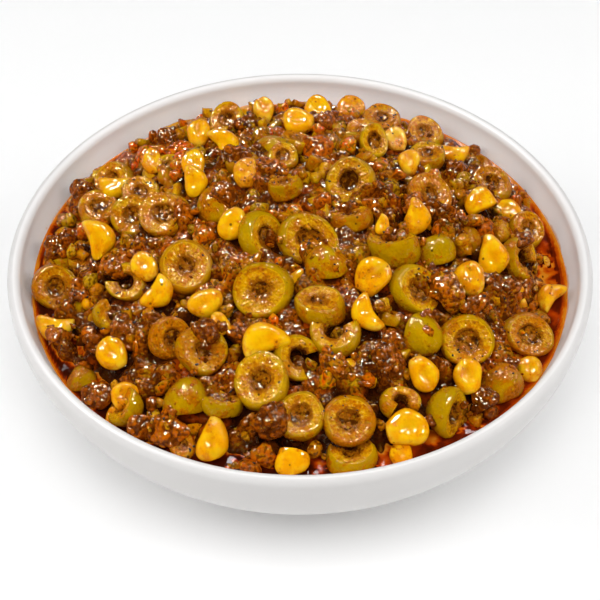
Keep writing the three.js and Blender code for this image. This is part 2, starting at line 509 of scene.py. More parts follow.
@dataclass
class KernelMaker:
    """Makes sweetcorn kernels."""

    across: int = 24
    rows: int = 16

    def make(self, form: Kernel, length: float, rng: np.random.Generator) -> Shape:
        """One kernel, with its length along y and its flat side up.

        Args:
            form: Which of the forms it takes.
            length: From its crown to its tip.
            rng: Where the random numbers come from.

        Returns:
            The kernel about its centre.
        """
        bm = bmesh.new()
        bmesh.ops.create_uvsphere(bm, u_segments=self.across, v_segments=self.rows, radius=1.0)
        bmesh.ops.rotate(bm, verts=bm.verts[:], matrix=Matrix.Rotation(math.pi / 2, 3, "X"))
        shape = shape_from(bm)
        c = shape.corners
        x, y, z = c.T.copy()
        wide, thick, tip, bend, dent, blunt = form.value
        wide *= rng.uniform(0.92, 1.08)
        thick *= rng.uniform(0.9, 1.12)
        taper = tip + (1 - tip) * smooth(y, -1.0, 0.45)
        square = 1 + 0.12 * np.abs(x * y)
        x = x * wide * taper * square
        z = z * thick * (0.45 + 0.55 * taper)
        x = x + bend * (y * y - 0.35)
        pit = np.exp(-((x / 0.34) ** 2 + ((y - 0.12) / 0.42) ** 2))
        z = z - dent * pit * np.sign(z) * np.abs(z) ** 0.3
        y = np.where(y < blunt, blunt + (y - blunt) * 0.2, y)
        crease = rng.uniform(-0.4, 0.4)
        groove = rng.uniform(0.08, 0.32) * np.exp(-(((x - crease * y) / 0.17) ** 2))
        z = z - groove * smooth(z, 0.0, 0.3) * smooth(y, -0.4, 0.5)
        c[:] = np.stack([x, y, z], 1) * (length / 2)
        shape.look[:, 2] = smooth(-y, 0.45, 0.95)
        shape.look[:, 3] = np.exp(-((x / 0.3) ** 2 + ((y - 0.12) / 0.36) ** 2))
        big, small = Wobble(rng, length * 0.8), Wobble(rng, 2.2)
        outward = c / np.maximum(np.linalg.norm(c, axis=1, keepdims=True), 0.4)
        c += outward * (0.34 * big.at(c) + 0.03 * small.at(c))[:, None]
        shape.own = c.copy()
        return shape


@dataclass
class BitMaker:
    """Makes chopped bits: small rounded lumps with a few dozen faces each."""

    fineness: int = 2

    def __post_init__(self) -> None:
        """Makes the ball that every bit starts from."""
        self.ball = ball(self.fineness)

    def make(self, size: float, boxy: float, rough: float, rng: np.random.Generator) -> Shape:
        """One bit.

        Args:
            size: Its mean width.
            boxy: From 0, a ball, to 1, nearly a cube.
            rough: How lumpy it is, as a share of its size.
            rng: Where the random numbers come from.

        Returns:
            The bit about its centre.
        """
        shape = self.ball.copy()
        c = shape.corners
        biggest = np.abs(c).max(1, keepdims=True)
        c /= 1 + boxy * (biggest**0.6 - 1)
        for _ in range(rng.integers(0, 4)):
            way = rng.normal(size=3)
            way /= np.linalg.norm(way)
            over = np.clip(c @ way - rng.uniform(0.3, 0.8), 0, None)
            c -= over[:, None] * way * 0.8
        c *= 1 + rough * Wobble(rng, 1.5).at(c)[:, None] + 0.5 * rough * Wobble(rng, 0.7).at(c)[:, None]
        c *= size / 2 * rng.uniform(0.62, 1.4, 3)
        shape.own = c + rng.uniform(-50, 50, 3)
        return shape


@dataclass
class ClodMaker:
    """Makes clods of mince that cling together: large, uneven, with grains all over."""

    fineness: int = 5
    grains: int = 110

    def __post_init__(self) -> None:
        """Makes the ball that every clod starts from."""
        self.ball = ball(self.fineness)

    def make(self, size: float, rng: np.random.Generator) -> Shape:
        """One clod.

        Args:
            size: Its mean width.
            rng: Where the random numbers come from.

        Returns:
            The clod about its centre, each grain with a tint a little off the others.
        """
        shape = self.ball.copy()
        c = shape.corners
        out = c.copy()
        c *= 1 + 0.30 * Wobble(rng, 1.6).at(c)[:, None]
        c *= size / 2 * rng.uniform(0.55, 1.35, 3)
        hubs = c[rng.integers(0, len(c), self.grains)]
        reach = rng.triangular(0.4, 0.7, 1.5, self.grains)
        away = np.linalg.norm(c[:, None] - hubs[None], axis=2) / reach
        rise = np.sqrt(np.clip(1 - away**2, 0, None)) * reach * 0.5
        c += out * rise.max(1)[:, None]
        shape.look[:, 0] = rng.normal(0, 0.09, self.grains)[rise.argmax(1)]
        # painted shade: the gaps between grains are marked as hollow, which the finish paints dark
        shape.look[:, 3] = 0.62 * (1 - smooth(rise.max(1), 0.0, 0.35))
        shape.own = c + rng.uniform(-50, 50, 3)
        return shape


# ---- Laying the heap ----


class HeightMap:
    """The height of what is laid so far, over a square grid of the plan."""

    def __init__(self, cell: float, reach: float = 78.0) -> None:
        """Makes the empty map.

        Args:
            cell: The width of one square of the grid.
            reach: How far the grid goes from the middle.
        """
        self.cell = cell
        self.reach = reach
        self.count = int(2 * reach / cell) + 1
        line = np.arange(self.count) * cell - reach
        self.x, self.y = np.meshgrid(line, line, indexing="ij")
        self.radius = np.hypot(self.x, self.y)
        self.top = np.zeros_like(self.x)

    def index(self, points: Array) -> tuple[Array, Array]:
        """The grid squares that points lie over, given as rows that start with x and y."""
        at = np.clip(np.rint((points[..., :2] + self.reach) / self.cell), 0, self.count - 1).astype(int)
        return at[..., 0], at[..., 1]

    def raise_to(self, points: Array) -> None:
        """Raises the map to a piece's points."""
        np.maximum.at(self.top, self.index(points), points[:, 2])

    def blurred(self, values: Array, radius: float) -> Array:
        """Values smoothed over a radius by three running means.

        Args:
            values: One value for each square.
            radius: How far the smoothing reaches.

        Returns:
            The smoothed values.
        """
        half = max(1, round(radius / self.cell / 1.7))
        for axis in (0, 1) * 3:
            padded = np.pad(values, [(half + 1, half) if a == axis else (0, 0) for a in (0, 1)], "edge")
            total = np.cumsum(padded, axis)
            after = np.take(total, range(2 * half + 1, total.shape[axis]), axis)
            before = np.take(total, range(0, total.shape[axis] - 2 * half - 1), axis)
            values = (after - before) / (2 * half + 1)
        return values

    def near(self, solid: Array, reach: float, steps: int = 8) -> Array:
        """How near each square is to what stands out.

        Args:
            solid: 1 where something stands out, 0 elsewhere.
            reach: The distance over which the nearness falls to a third.
            steps: How many squares away it is followed.

        Returns:
            1 at what stands out, falling to 0 away from it.
        """
        near = np.zeros_like(solid)
        for step in range(steps):
            near = np.maximum(near, solid * math.exp(-step * self.cell / reach))
            for axis in (0, 1):
                beside = np.maximum(np.roll(solid, 1, axis), np.roll(solid, -1, axis))
                solid = np.maximum(solid, beside)
        return near


@dataclass
class Pile:
    """Lays pieces on a height map, each in the lowest of a few places it could lie in."""

    rng: np.random.Generator
    map: HeightMap = field(default_factory=lambda: HeightMap(0.75))
    bank: float = 2.4
    core_depth: float = 10.5
    edge: float = 73.0
    no_ceiling: float = 1e3

    def __post_init__(self) -> None:
        """Starts from the wall of the bowl and a core well under the dome."""
        m = self.map
        self.dome = HEAP.top(m.x, m.y) + self.bank * smooth(m.radius, 58, 70) * smooth(m.y, 5, 45)
        m.top = np.maximum(self.dome - self.core_depth, BOWL.wall_height(m.radius))
        self.ceiling = np.full_like(m.top, self.no_ceiling)
        self.inside = np.argwhere(m.radius < self.edge)

    def roof(self, points: Array) -> None:
        """Keeps room for a piece that is laid later, by lowering the ceiling to it."""
        np.minimum.at(self.ceiling, self.map.index(points), points[:, 2])

    def lowest(self, picks: int) -> tuple[int, int]:
        """Finds a low square.

        Args:
            picks: How many squares are picked at random.

        Returns:
            The row and column of the one that lies lowest under the dome.
        """
        found = self.inside[self.rng.integers(0, len(self.inside), picks)]
        depth = (self.map.top - self.dome)[found[:, 0], found[:, 1]]
        return tuple(found[int(depth.argmin())])

    def rise(self, points: Array, one_in: int) -> float:
        """How far points rise to lie on the map, where one in so many may press into it."""
        gap = np.sort(self.map.top[self.map.index(points)] - points[:, 2])
        return gap[-1 - len(gap) // one_in]

    def clear_of_wall(self, shape: Shape, margin: float = 0.15) -> Shape:
        """Moves a piece inwards until it is clear of the bowl's wall.

        Args:
            shape: The piece in place.
            margin: How much room it leaves.

        Returns:
            The piece, moved if it had to be.
        """
        for _ in range(4):
            radius = shape.radii()
            over = radius - (BOWL.wall_radius(shape.corners[:, 2]) - margin)
            worst = int(over.argmax())
            if over[worst] <= 0:
                break
            step = shape.corners[worst, :2] / radius[worst] * over[worst]
            shape = shape.moved(-step[0], -step[1], 0)
        return shape

    def settle(self, shape: Shape, x: float, y: float, sink: float) -> Shape:
        """Turns a piece at random and lets it settle on what lies at a place.

        Args:
            shape: The piece about its centre.
            x: Where, across.
            y: Where, away from the viewer.
            sink: How far it settles in.

        Returns:
            The piece in place, which the map doesn't hold yet.
        """
        points = shape.corners @ random_turn(self.rng).T + np.array([x, y, 0.0])
        points[:, 2] += self.rise(points, 6) - sink
        return shape.at(points)

    def drop(
        self, shape: Shape, sink: float, allowance: float, tries: int = 10, flat: float = 0.0
    ) -> Shape | None:
        """Drops a piece where it comes to lie lowest under the dome.

        Args:
            shape: The piece about its centre.
            sink: How far it may settle into what is under it.
            allowance: How far its top may stand above the dome.
            tries: How many places are tried, each with its own turn of the piece.
            flat: From 0, turned at random, to 1, lying on the slope of the heap.

        Returns:
            The piece in place, or None if no place was low enough.
        """
        m = self.map
        best, found = allowance, None
        picks = self.inside[self.rng.integers(0, len(self.inside), tries * 14)]
        depth = (m.top - self.dome)[picks[:, 0], picks[:, 1]]
        for i, j in picks[np.argsort(depth)[:tries]]:
            x, y = m.x[i, j], m.y[i, j]
            turn = random_turn(self.rng)
            if self.rng.random() < flat:
                lean = 0.55 * math.hypot(x, y) / HEAP.edge_radius
                away = math.degrees(math.atan2(x, -y))
                jitter = self.rng.normal(0, 14, 2)
                turn = facing(away + jitter[0], 90 - math.degrees(lean) + jitter[1])
                turn = turn @ np.array(Matrix.Rotation(self.rng.uniform(0, 6.28), 3, "Z"))
            points = shape.corners @ turn.T + np.array([x, y, 0.0])
            at = m.index(points)
            points[:, 2] += self.rise(points, 12) - sink
            if (points[:, 2] - self.ceiling[at]).max() > 0.6:
                continue
            stands = float((points[:, 2] - self.dome[at]).max())
            if stands < best:
                best, found = stands, shape.at(points)
        if found is not None:
            m.raise_to(found.corners)
        return found


# ---- What is laid where ----


@dataclass(frozen=True)
class Slice:
    """An olive slice with its place in the heap."""

    x: float
    y: float
    width: float
    azimuth: float = 0.0
    elevation: float = 55.0
    cut: Cut = Cut.RING
    sauce: float = 0.35
    green: float = 0.5
    lift: float = 0.0
    thick: float = 0.40
    fill: float = 0.35


@dataclass(frozen=True)
class Grain:
    """A sweetcorn kernel with its place in the heap."""

    x: float
    y: float
    length: float
    form: Kernel = Kernel.TOOTH
    heading: float = 0.0
    elevation: float = 55.0
    sauce: float = 0.15
    lift: float = 0.0


SLICES = (
    Slice(-9.5, -25, 16.0, -14, 50, sauce=0.28, green=0.75, lift=0.9),
    Slice(-30, -15, 14.6, 3, 60, sauce=0.22, green=0.25, lift=0.5),
    Slice(2, -6.5, 17.0, 22, 50, sauce=0.40, green=0.7, lift=0.8),
    Slice(-10.5, -5.5, 14.0, 62, 34, sauce=0.15, green=0.95, lift=0.6),
    Slice(14, 16.5, 14.4, -26, 50, sauce=0.20, green=0.5, lift=1.8, thick=0.46, fill=0.0),
    Slice(5, -29.5, 14.0, 8, 100, sauce=0.45, green=0.6),
    Slice(9, -37, 13.4, -12, 72, Cut.OPEN_RING, sauce=0.40, green=0.6),
    Slice(25, -8.5, 15.4, 8, 118, sauce=0.30, green=0.7, lift=-0.4, thick=0.5),
    Slice(36.5, -6.5, 11.5, 10, -60, Cut.END, sauce=0.20, green=0.8),
    Slice(30, -22, 14.5, 55, 50, sauce=0.25, green=0.85),
    Slice(32.5, -36, 12.0, 48, 200, Cut.END, sauce=0.20, green=0.95),
    Slice(43, -34, 15.0, 12, 52, sauce=0.38, green=0.6, lift=0.4),
    Slice(60, -27, 14.0, 22, 60, sauce=0.50, green=0.35),
    Slice(52, -42, 12.6, 10, -70, Cut.END, sauce=0.60, green=0.5),
    Slice(36, -53.5, 13.0, 60, 14, Cut.END, sauce=0.15, green=0.85),
    Slice(25, -54, 10.5, -30, 100, Cut.OPEN_RING, sauce=0.40, green=0.6),
    Slice(12, -59, 13.8, 16, 60, sauce=0.45, green=0.3, lift=0.4),
    Slice(0, -58.5, 13.0, 0, 66, sauce=0.30, green=0.6, lift=0.5),
    Slice(13, -67.5, 13.0, 4, 98, sauce=0.30, green=0.7, lift=-1.0),
    Slice(-9, -51, 14.6, -38, 62, Cut.END, sauce=0.30, green=0.7, lift=0.6),
    Slice(-1, -43.5, 12.6, 40, 50, Cut.OPEN_RING, sauce=0.35, green=0.7, lift=-0.6),
    Slice(-25, -40.5, 13.6, 22, 56, sauce=0.60, green=0.75, lift=0.3),
    Slice(-29, -51, 12.8, 20, -50, Cut.END, sauce=0.45, green=0.7),
    Slice(-19.5, -54.5, 11.0, -20, 120, Cut.OPEN_RING, sauce=0.30, green=0.9),
    Slice(-43, -52.5, 11.6, -95, 42, Cut.END, sauce=0.35, green=0.7, lift=0.2),
    Slice(-29, -63.5, 7.0, 0, 66, sauce=0.60, green=0.4),
    Slice(-58, -41, 8.6, -20, -60, Cut.END, sauce=0.40, green=0.6),
    Slice(-49, -25.5, 10.4, 30, 46, Cut.OPEN_RING, sauce=0.45, green=0.6),
    Slice(-46, -15.5, 12.0, -18, 66, Cut.OPEN_RING, sauce=0.25, green=0.6, lift=-0.4),
    Slice(-33.5, -36, 11.4, 40, 44, sauce=0.70, green=0.5),
    Slice(-67, -9, 13.6, 28, 46, sauce=0.50, green=0.45, lift=0.6),
    Slice(-37, 6, 15.0, -28, 70, sauce=0.50, green=0.4, lift=0.9),
    Slice(-46.5, 9.5, 12.6, -10, 58, sauce=0.40, green=0.5),
    Slice(-45, 19, 11.5, 0, 80, sauce=0.50, green=0.7),
    Slice(-54, 31, 12.0, -30, 60, sauce=0.50, green=0.6, lift=0.5),
    Slice(-57, 18, 12.0, 30, 80, sauce=0.55, green=0.5),
    Slice(-23, 9, 13.0, 30, -70, Cut.END, sauce=0.60, green=0.6),
    Slice(-4, 12, 10.0, 25, 112, sauce=0.50, green=0.7, lift=0.3, thick=0.5),
    Slice(6.5, -15.5, 12.4, 20, -60, Cut.END, sauce=0.60, green=0.8, lift=0.4),
    Slice(21, 38, 10.0, 30, 50, Cut.END, sauce=0.25, green=0.8, lift=0.4),
    Slice(37, 37, 12.4, 5, 98, sauce=0.50, green=0.6),
    Slice(56, 31, 12.0, -26, 62, sauce=0.60, green=0.6),
    Slice(36, 15, 14.0, 40, 66, sauce=0.75, green=0.3),
    Slice(60, -2, 13.0, 62, 34, Cut.OPEN_RING, sauce=0.35, green=0.6, lift=0.3),
    Slice(14, 2, 12.0, 20, 120, sauce=0.55, green=0.4, lift=-1.6),
    Slice(64, 12, 11.0, 30, 60, sauce=0.60, green=0.5),
    Slice(25, 60, 12.0, 0, 80, sauce=0.60, green=0.5, lift=1.0),
    Slice(-22, 58, 12.0, -10, 70, sauce=0.50, green=0.7, lift=0.5),
    Slice(-5, 27, 9.0, 0, 70, sauce=0.50, green=0.7),
    Slice(38, 55, 12.0, 10, 75, sauce=0.55, green=0.6, lift=0.5),
)

GRAINS = (
    Grain(-9, -42, 12.8, Kernel.BEAN, -65, 52, 0.02, 2.2),
    Grain(26, -61, 12.0, Kernel.TOOTH, -76, 62, 0.10, 1.2),
    Grain(-48, -38.5, 9.8, Kernel.ROUND, 30, 60, 0.08, 1.2),
    Grain(-55.5, 2, 12.2, Kernel.BEAN, 200, 62, 0.12, 1.0),
    Grain(-65, -24.5, 10.6, Kernel.BEAN, 84, 66, 0.10, 1.0),
    Grain(-18, -3, 10.0, Kernel.ROUND, 150, 58, 0.06, 0.6),
    Grain(52, -6, 12.0, Kernel.DROP, 182, 50, 0.10, 0.8),
    Grain(17, -33, 10.8, Kernel.BEAN, 30, 50, 0.12, 0.9),
    Grain(18.5, -22, 11.6, Kernel.TOOTH, -32, 44, 0.30, 0.6),
    Grain(31, -46.5, 9.6, Kernel.ROUND, 210, 58, 0.15, 0.6),
    Grain(43, -45.5, 10.4, Kernel.TOOTH, 10, 56, 0.20, 0.4),
    Grain(45, -17, 10.0, Kernel.ROUND, 10, 60, 0.32, 0.8),
    Grain(31.5, 2, 10.8, Kernel.DROP, 178, 54, 0.25, 1.2),
    Grain(22, -2.5, 6.2, Kernel.DROP, 170, 60, 0.15, 0.6),
    Grain(-41, -14.5, 8.8, Kernel.ROUND, 40, 60, 0.10, 1.4),
    Grain(-37, -23, 10.2, Kernel.BEAN, 150, 60, 0.15, 0.4),
    Grain(-24, -28.5, 9.6, Kernel.ROUND, 120, 60, 0.12, 0.2),
    Grain(-20, -35.5, 7.2, Kernel.TOOTH, 40, 60, 0.35, 0.4),
    Grain(-21.5, -63.5, 12.0, Kernel.DROP, 168, 64, 0.08, 1.0),
    Grain(-2, -68, 9.6, Kernel.HALF, 170, 66, 0.10, 0.2),
    Grain(-45, -49.5, 8.6, Kernel.TOOTH, -40, 60, 0.45, 0.2),
    Grain(60, -38, 7.4, Kernel.ROUND, 0, 60, 0.20, 0.0),
    Grain(68, -13, 9.6, Kernel.BEAN, -40, 64, 0.30, 0.4),
    Grain(51, 15, 9.6, Kernel.HALF, 30, 60, 0.20, 0.8),
    Grain(31, 27, 8.0, Kernel.ROUND, 0, 60, 0.12, 0.8),
    Grain(46, 42, 9.0, Kernel.BEAN, 90, 62, 0.25, 0.8),
    Grain(28, 41, 9.0, Kernel.TOOTH, 10, 60, 0.30, 0.6),
    Grain(-53, 25, 10.0, Kernel.BEAN, 90, 62, 0.15, 1.0),
    Grain(-42.5, 33, 8.6, Kernel.TOOTH, 20, 60, 0.35, 0.6),
    Grain(-30, 47, 8.6, Kernel.ROUND, 0, 62, 0.15, 0.8),
    Grain(-30, 25.5, 9.4, Kernel.TOOTH, 10, 60, 0.25, 0.4),
    Grain(-29.5, 17.5, 9.8, Kernel.DROP, 195, 60, 0.12, 0.9),
    Grain(-22, 36, 11.0, Kernel.BEAN, 215, 60, 0.10, 1.0),
    Grain(-15, 18, 9.0, Kernel.ROUND, 0, 60, 0.45, 0.6),
    Grain(-11, 63, 8.8, Kernel.ROUND, 10, 66, 0.12, 1.2),
    Grain(6, 62, 10.0, Kernel.TOOTH, 40, 66, 0.20, 1.2),
    Grain(0, 49, 10.6, Kernel.TOOTH, 80, 66, 0.06, 1.0),
    Grain(15, 65, 10.0, Kernel.TOOTH, -60, 66, 0.60, 1.6),
    Grain(26, -67.5, 7.6, Kernel.TOOTH, 30, 60, 0.45, 0.0),
    Grain(-48, -55, 6.0, Kernel.TOOTH, 30, 60, 0.65, 0.0),
)


@dataclass(frozen=True)
class Clump:
    """A place where crumbs of mince cling together on top of the heap."""

    x: float
    y: float
    reach: float
    count: int
    tone: float = 0.5


CLUMPS = (
    Clump(6.5, -15.5, 5.6, 60, 0.8),
    Clump(-11, -59, 5.0, 70, 0.25),
    Clump(-24, -40, 4.6, 44, 0.2),
    Clump(36, -21, 4.6, 40, 0.65),
    Clump(25, -3.5, 4.8, 44, 0.55),
    Clump(9, -47.5, 4.8, 40, 0.6),
    Clump(-40, -31, 5.2, 54, 0.35),
    Clump(-8, 17, 6.0, 64, 0.5),
    Clump(24, 9, 6.0, 60, 0.5),
    Clump(47, 29, 5.6, 56, 0.15),
    Clump(-54, -34, 4.4, 44, 0.3),
    Clump(52, -41, 4.4, 40, 0.3),
    Clump(-32, 3, 4.6, 36, 0.5),
    Clump(-68, 8, 5.4, 56, 0.25),
    Clump(-18, 30, 5.6, 56, 0.3),
    Clump(8, 52, 6.2, 60, 0.35),
    Clump(-14, 56, 5.4, 50, 0.25),
    Clump(62, 4, 5.0, 50, 0.3),
    Clump(47, -52, 4.2, 50, 0.15),
    Clump(-62, -17, 4.2, 40, 0.4),
    Clump(-38, 50, 5.4, 50, 0.25),
    Clump(-10, -37, 4.6, 44, 0.45),
    Clump(22, -45, 4.6, 40, 0.35),
    Clump(-17, -20, 4.4, 40, 0.75),
    Clump(-33, -58.5, 4.6, 44, 0.5),
    Clump(54, -16, 4.6, 44, 0.35),
    Clump(-50, -8, 4.6, 44, 0.5),
    Clump(40, 5, 5.0, 44, 0.3),
    Clump(-21, 9, 3.6, 44, 0.3),
    Clump(-63, -29, 3.4, 44, 0.4),
    Clump(-51.5, -46.5, 3.4, 44, 0.3),
    Clump(-37.5, -59, 3.4, 44, 0.4),
    Clump(-64, 26, 4.0, 44, 0.3),
    Clump(45, -27, 4.0, 44, 0.4),
)


@dataclass(frozen=True)
class Grit:
    """A lump of mince that the sauce holds: a flattened ball, drawn into the bed's surface."""

    x: float
    y: float
    z: float
    size: float
    stretch: float
    turn: float
    tint: float

    def cover(self, m: HeightMap, rough: Array) -> tuple[tuple[slice, slice], Array, Array]:
        """Which squares of a map the lump covers.

        Args:
            m: The map.
            rough: Values from 0 to 1 over the map that make outlines uneven.

        Returns:
            The window, the height of the lump's surface there, and whether it is inside.
        """
        i, j = (int(v) for v in m.index(np.array([self.x, self.y])))
        half = int(self.size * self.stretch * 1.25 / m.cell) + 1
        box = (slice(max(i - half, 0), i + half + 1), slice(max(j - half, 0), j + half + 1))
        dx, dy = m.x[box] - self.x, m.y[box] - self.y
        c, s = math.cos(self.turn), math.sin(self.turn)
        u = (dx * c + dy * s) / (self.size * self.stretch)
        v = (dy * c - dx * s) / self.size * self.stretch
        far = (u * u + v * v) * (0.5 + 1.1 * rough[box])
        rise = np.sqrt(np.clip(1 - far, 0, None)) * self.size * 0.85
        return box, self.z + rise, far < 1


@dataclass
class Heap:
    """The whole heap of olive salad: what is laid where, and in what order."""

    seed: int = 41
    buried_slices: int = 60
    buried_grains: int = 34
    extra_slices: int = 30
    extra_grains: int = 14
    chips: int = 170
    chunks: int = 96
    bits: int = 300
    grits: int = 2600
    crumbs: int = 480
    specks: int = 620
    slice_depth: float = 0.24
    kernel_depth: float = 1.6
    grit_reach: float = 72.2
    crumb_reach: float = 71.5
    speck_reach: float = 71.0
    lump_spread: float = 0.45
    clod_spread: float = 0.42
    crumb_spread: float = 0.55
    lumps_one_in: int = 3
    clods_one_in: int = 40
    grit_depth: float = -2.2
    near_grit_depth: float = -4.8
    hollow_about: float = 2.4
    hollow_shade_from: float = 0.6
    hollow_shade_to: float = 4.4
    kinds: tuple[str, ...] = (
        "olive_rings", "olive_ends", "olive_chips", "corn_kernels", "chopped_chunks", "chopped_bits",
        "mince_clods", "mince_crumbs", "pepper_specks",
    )

    def __post_init__(self) -> None:
        """Gets ready to lay the pieces."""
        self.rng = np.random.default_rng(self.seed)
        self.pile = Pile(self.rng)
        self.fine, self.plain = OliveMaker(), OliveMaker(sides=22, coarse=True)
        self.kernels, self.bit_maker, self.clods = KernelMaker(), BitMaker(), ClodMaker()
        self.loads: dict[str, list[Shape]] = {kind: [] for kind in self.kinds}
        self.lumps: list[Grit] = []
        self.clean = np.zeros_like(self.pile.map.top, bool)
        self.rough = lattice(self.rng, self.pile.map.x, self.pile.map.y, 1.4)

    def lay(self) -> None:
        """Lays everything, from the set pieces down to the last specks."""
        self.set_pieces()
        self.bury()
        for kind in ("olive_rings", "olive_ends", "corn_kernels"):
            for shape in self.loads[kind]:
                self.pile.map.raise_to(shape.corners)
        self.fill_with_slices()
        self.scatter_bits("chopped_chunks", BitMaker(fineness=3), self.chunks, 4.5, 9.0, 1.8)
        self.scatter_chips()
        self.scatter_bits("chopped_bits", self.bit_maker, self.bits, 2.4, 5.4, 0.8)
        self.support = self.pile.map.top.copy()
        self.cling()
        self.scatter_grits()
        self.scatter_crumbs()
        self.paint_hollow_shade()
        self.sprinkle_specks()

    def paint_hollow_shade(self) -> None:
        """Paints shade, partly standing for dark oil, on whatever lies lower than the heap about it: kernels
        take it as more sauce, other pieces as a deeper hollow.
        """
        m = self.pile.map
        about = m.blurred(m.top, self.hollow_about)
        for kind, shapes in self.loads.items():
            # painted shade: kernels take it in their sauce channel, other pieces in their hollow channel
            channel = 1 if kind == "corn_kernels" else 3
            for shape in shapes:
                below = about[m.index(shape.corners)] - shape.corners[:, 2]
                # painted shade: the lower a corner lies under its neighbours, the darker it is painted
                wet = smooth(below, self.hollow_shade_from, self.hollow_shade_to)
                shape.look[:, channel] = np.maximum(shape.look[:, channel], wet)

    def keep(self, kind: str, shape: Shape | None, amount: float, tint: float) -> None:
        """Keeps a laid piece, with its own tint and an uneven coat of sauce.

        Args:
            kind: Which kind it is kept with.
            shape: The piece in place, or None if it found none.
            amount: How much of it is coated, from 0 to 1.
            tint: Its own tint, from 0 to 1.
        """
        if shape is None:
            return
        patch = Wobble(self.rng, 6.0).at(shape.corners + self.rng.uniform(-40, 40, 3))
        look = shape.look.copy()
        look[:, 0] = np.clip(look[:, 0] + tint, 0, 1)
        look[:, 1] = np.clip(amount + 0.25 * patch + 0.1 * look[:, 2], 0, 1)
        self.loads[kind].append(Shape(shape.corners, shape.faces, look, shape.own))

    def slice_shape(self, piece: Slice, maker: OliveMaker) -> Shape:
        """The shape of a slice about its centre, cut as it says.

        Args:
            piece: The slice.
            maker: What makes it.

        Returns:
            The shape.
        """
        radius = piece.width / 2
        if piece.cut is Cut.END:
            return maker.end(radius, radius * self.rng.uniform(0.95, 1.2), self.rng)
        gap = self.rng.uniform(70, 110) if piece.cut is Cut.OPEN_RING else 0.0
        return maker.ring(radius, piece.width * piece.thick, gap, piece.fill, self.rng)

    def set_down(self, kind: str, shape: Shape, piece: Slice | Grain, sink: float, tint: float) -> Shape:
        """Sets a turned piece down in its place.

        Args:
            kind: Which kind it is kept with.
            shape: The piece about its centre.
            piece: What says where it lies.
            sink: How far its centre lies under the dome.
            tint: Its own tint, from 0 to 1.

        Returns:
            The piece in place.
        """
        z = float(HEAP.top(np.array(piece.x), np.array(piece.y))) - sink + piece.lift
        shape = self.pile.clear_of_wall(shape.moved(piece.x, piece.y, z))
        over = shape.corners[:, 2].max() - HEAP.highest
        if over > 0:
            shape = shape.moved(0, 0, -over)
        self.keep(kind, shape, piece.sauce, tint)
        self.pile.roof(shape.corners)
        return shape

    def set_pieces(self) -> None:
        """Sets the slices and kernels that have places of their own."""
        for piece in SLICES:
            turn = facing(piece.azimuth, piece.elevation, self.rng.uniform(0, 360))
            shape = self.slice_shape(piece, self.fine).turned(turn)
            kind = "olive_ends" if piece.cut is Cut.END else "olive_rings"
            self.set_down(kind, shape, piece, piece.width * self.slice_depth, piece.green)
        for grain in GRAINS:
            shape = self.kernels.make(grain.form, grain.length, self.rng)
            shape = shape.turned(facing(0, grain.elevation, grain.heading))
            shape = self.set_down("corn_kernels", shape, grain, self.kernel_depth, self.rng.random())
            if grain.sauce < 0.3:
                self.clean[self.pile.map.index(shape.corners)] = True

    def drop_slice(self, maker: OliveMaker, low: float, high: float, allowance: float, flat: float) -> None:
        """Drops an olive slice of any cut into a hollow.

        Args:
            maker: What makes it.
            low: The least width.
            high: The greatest width.
            allowance: How far it may stand above the dome.
            flat: How likely it lies along the slope.
        """
        cut = list(Cut)[self.rng.choice([0, 0, 0, 1, 2, 2])]
        fill, thick = self.rng.uniform(0.1, 0.7), self.rng.uniform(0.3, 0.5)
        piece = Slice(0, 0, self.rng.uniform(low, high), cut=cut, thick=thick, fill=fill)
        found = self.pile.drop(self.slice_shape(piece, maker), 0.9, allowance, tries=22, flat=flat)
        kind = "olive_ends" if cut is Cut.END else "olive_rings"
        self.keep(kind, found, self.rng.uniform(0.3, 0.8), self.rng.uniform(0.1, 0.9))

    def drop_kernel(self, low: float, high: float, allowance: float) -> None:
        """Drops a kernel of any form into a hollow.

        Args:
            low: The least length.
            high: The greatest length.
            allowance: How far it may stand above the dome.
        """
        form = list(Kernel)[self.rng.integers(0, len(Kernel))]
        shape = self.kernels.make(form, self.rng.uniform(low, high), self.rng)
        found = self.pile.drop(shape, 0.8, allowance, tries=18)
        self.keep("corn_kernels", found, self.rng.uniform(0.2, 0.6), self.rng.random())

    def bury(self) -> None:
        """Fills the depth of the heap under the set pieces."""
        for _ in range(self.buried_slices):
            self.drop_slice(self.plain, 10.0, 14.0, -1.0, 0.4)
        for _ in range(self.buried_grains):
            self.drop_kernel(7.5, 10.5, -1.0)

    def fill_with_slices(self) -> None:
        """Fills the wider hollows left between the set pieces."""
        for _ in range(self.extra_slices):
            self.drop_slice(self.fine, 8.5, 12.5, 1.6, 0.6)
        for _ in range(self.extra_grains):
            self.drop_kernel(6.5, 9.0, 1.2)

    def scatter_chips(self) -> None:
        """Drops chopped arcs of olive into the hollows."""
        for _ in range(self.chips):
            radius, thickness = self.rng.uniform(5.0, 7.5), self.rng.uniform(1.8, 3.6)
            shape = self.plain.chip(radius, thickness, self.rng.uniform(38, 100), self.rng)
            found = self.pile.drop(shape, 0.5, 0.8)
            self.keep("olive_chips", found, self.rng.uniform(0.2, 0.8), self.rng.uniform(0.1, 0.95))

    def scatter_bits(
        self, kind: str, maker: BitMaker, count: int, low: float, high: float, allowance: float
    ) -> None:
        """Drops chopped bits of olive, pepper and onion into the hollows.

        Args:
            kind: Which kind they are kept with.
            maker: What makes them.
            count: How many are tried.
            low: The least width.
            high: The greatest width.
            allowance: How far they may stand above the dome.
        """
        for _ in range(count):
            size = self.rng.triangular(low, low * 0.6 + high * 0.4, high)
            shape = maker.make(size, self.rng.uniform(0.1, 0.8), 0.18, self.rng)
            found = self.pile.drop(shape, 0.2 * size, allowance, tries=14)
            self.keep(kind, found, self.rng.uniform(0.1, 0.8), self.rng.random())

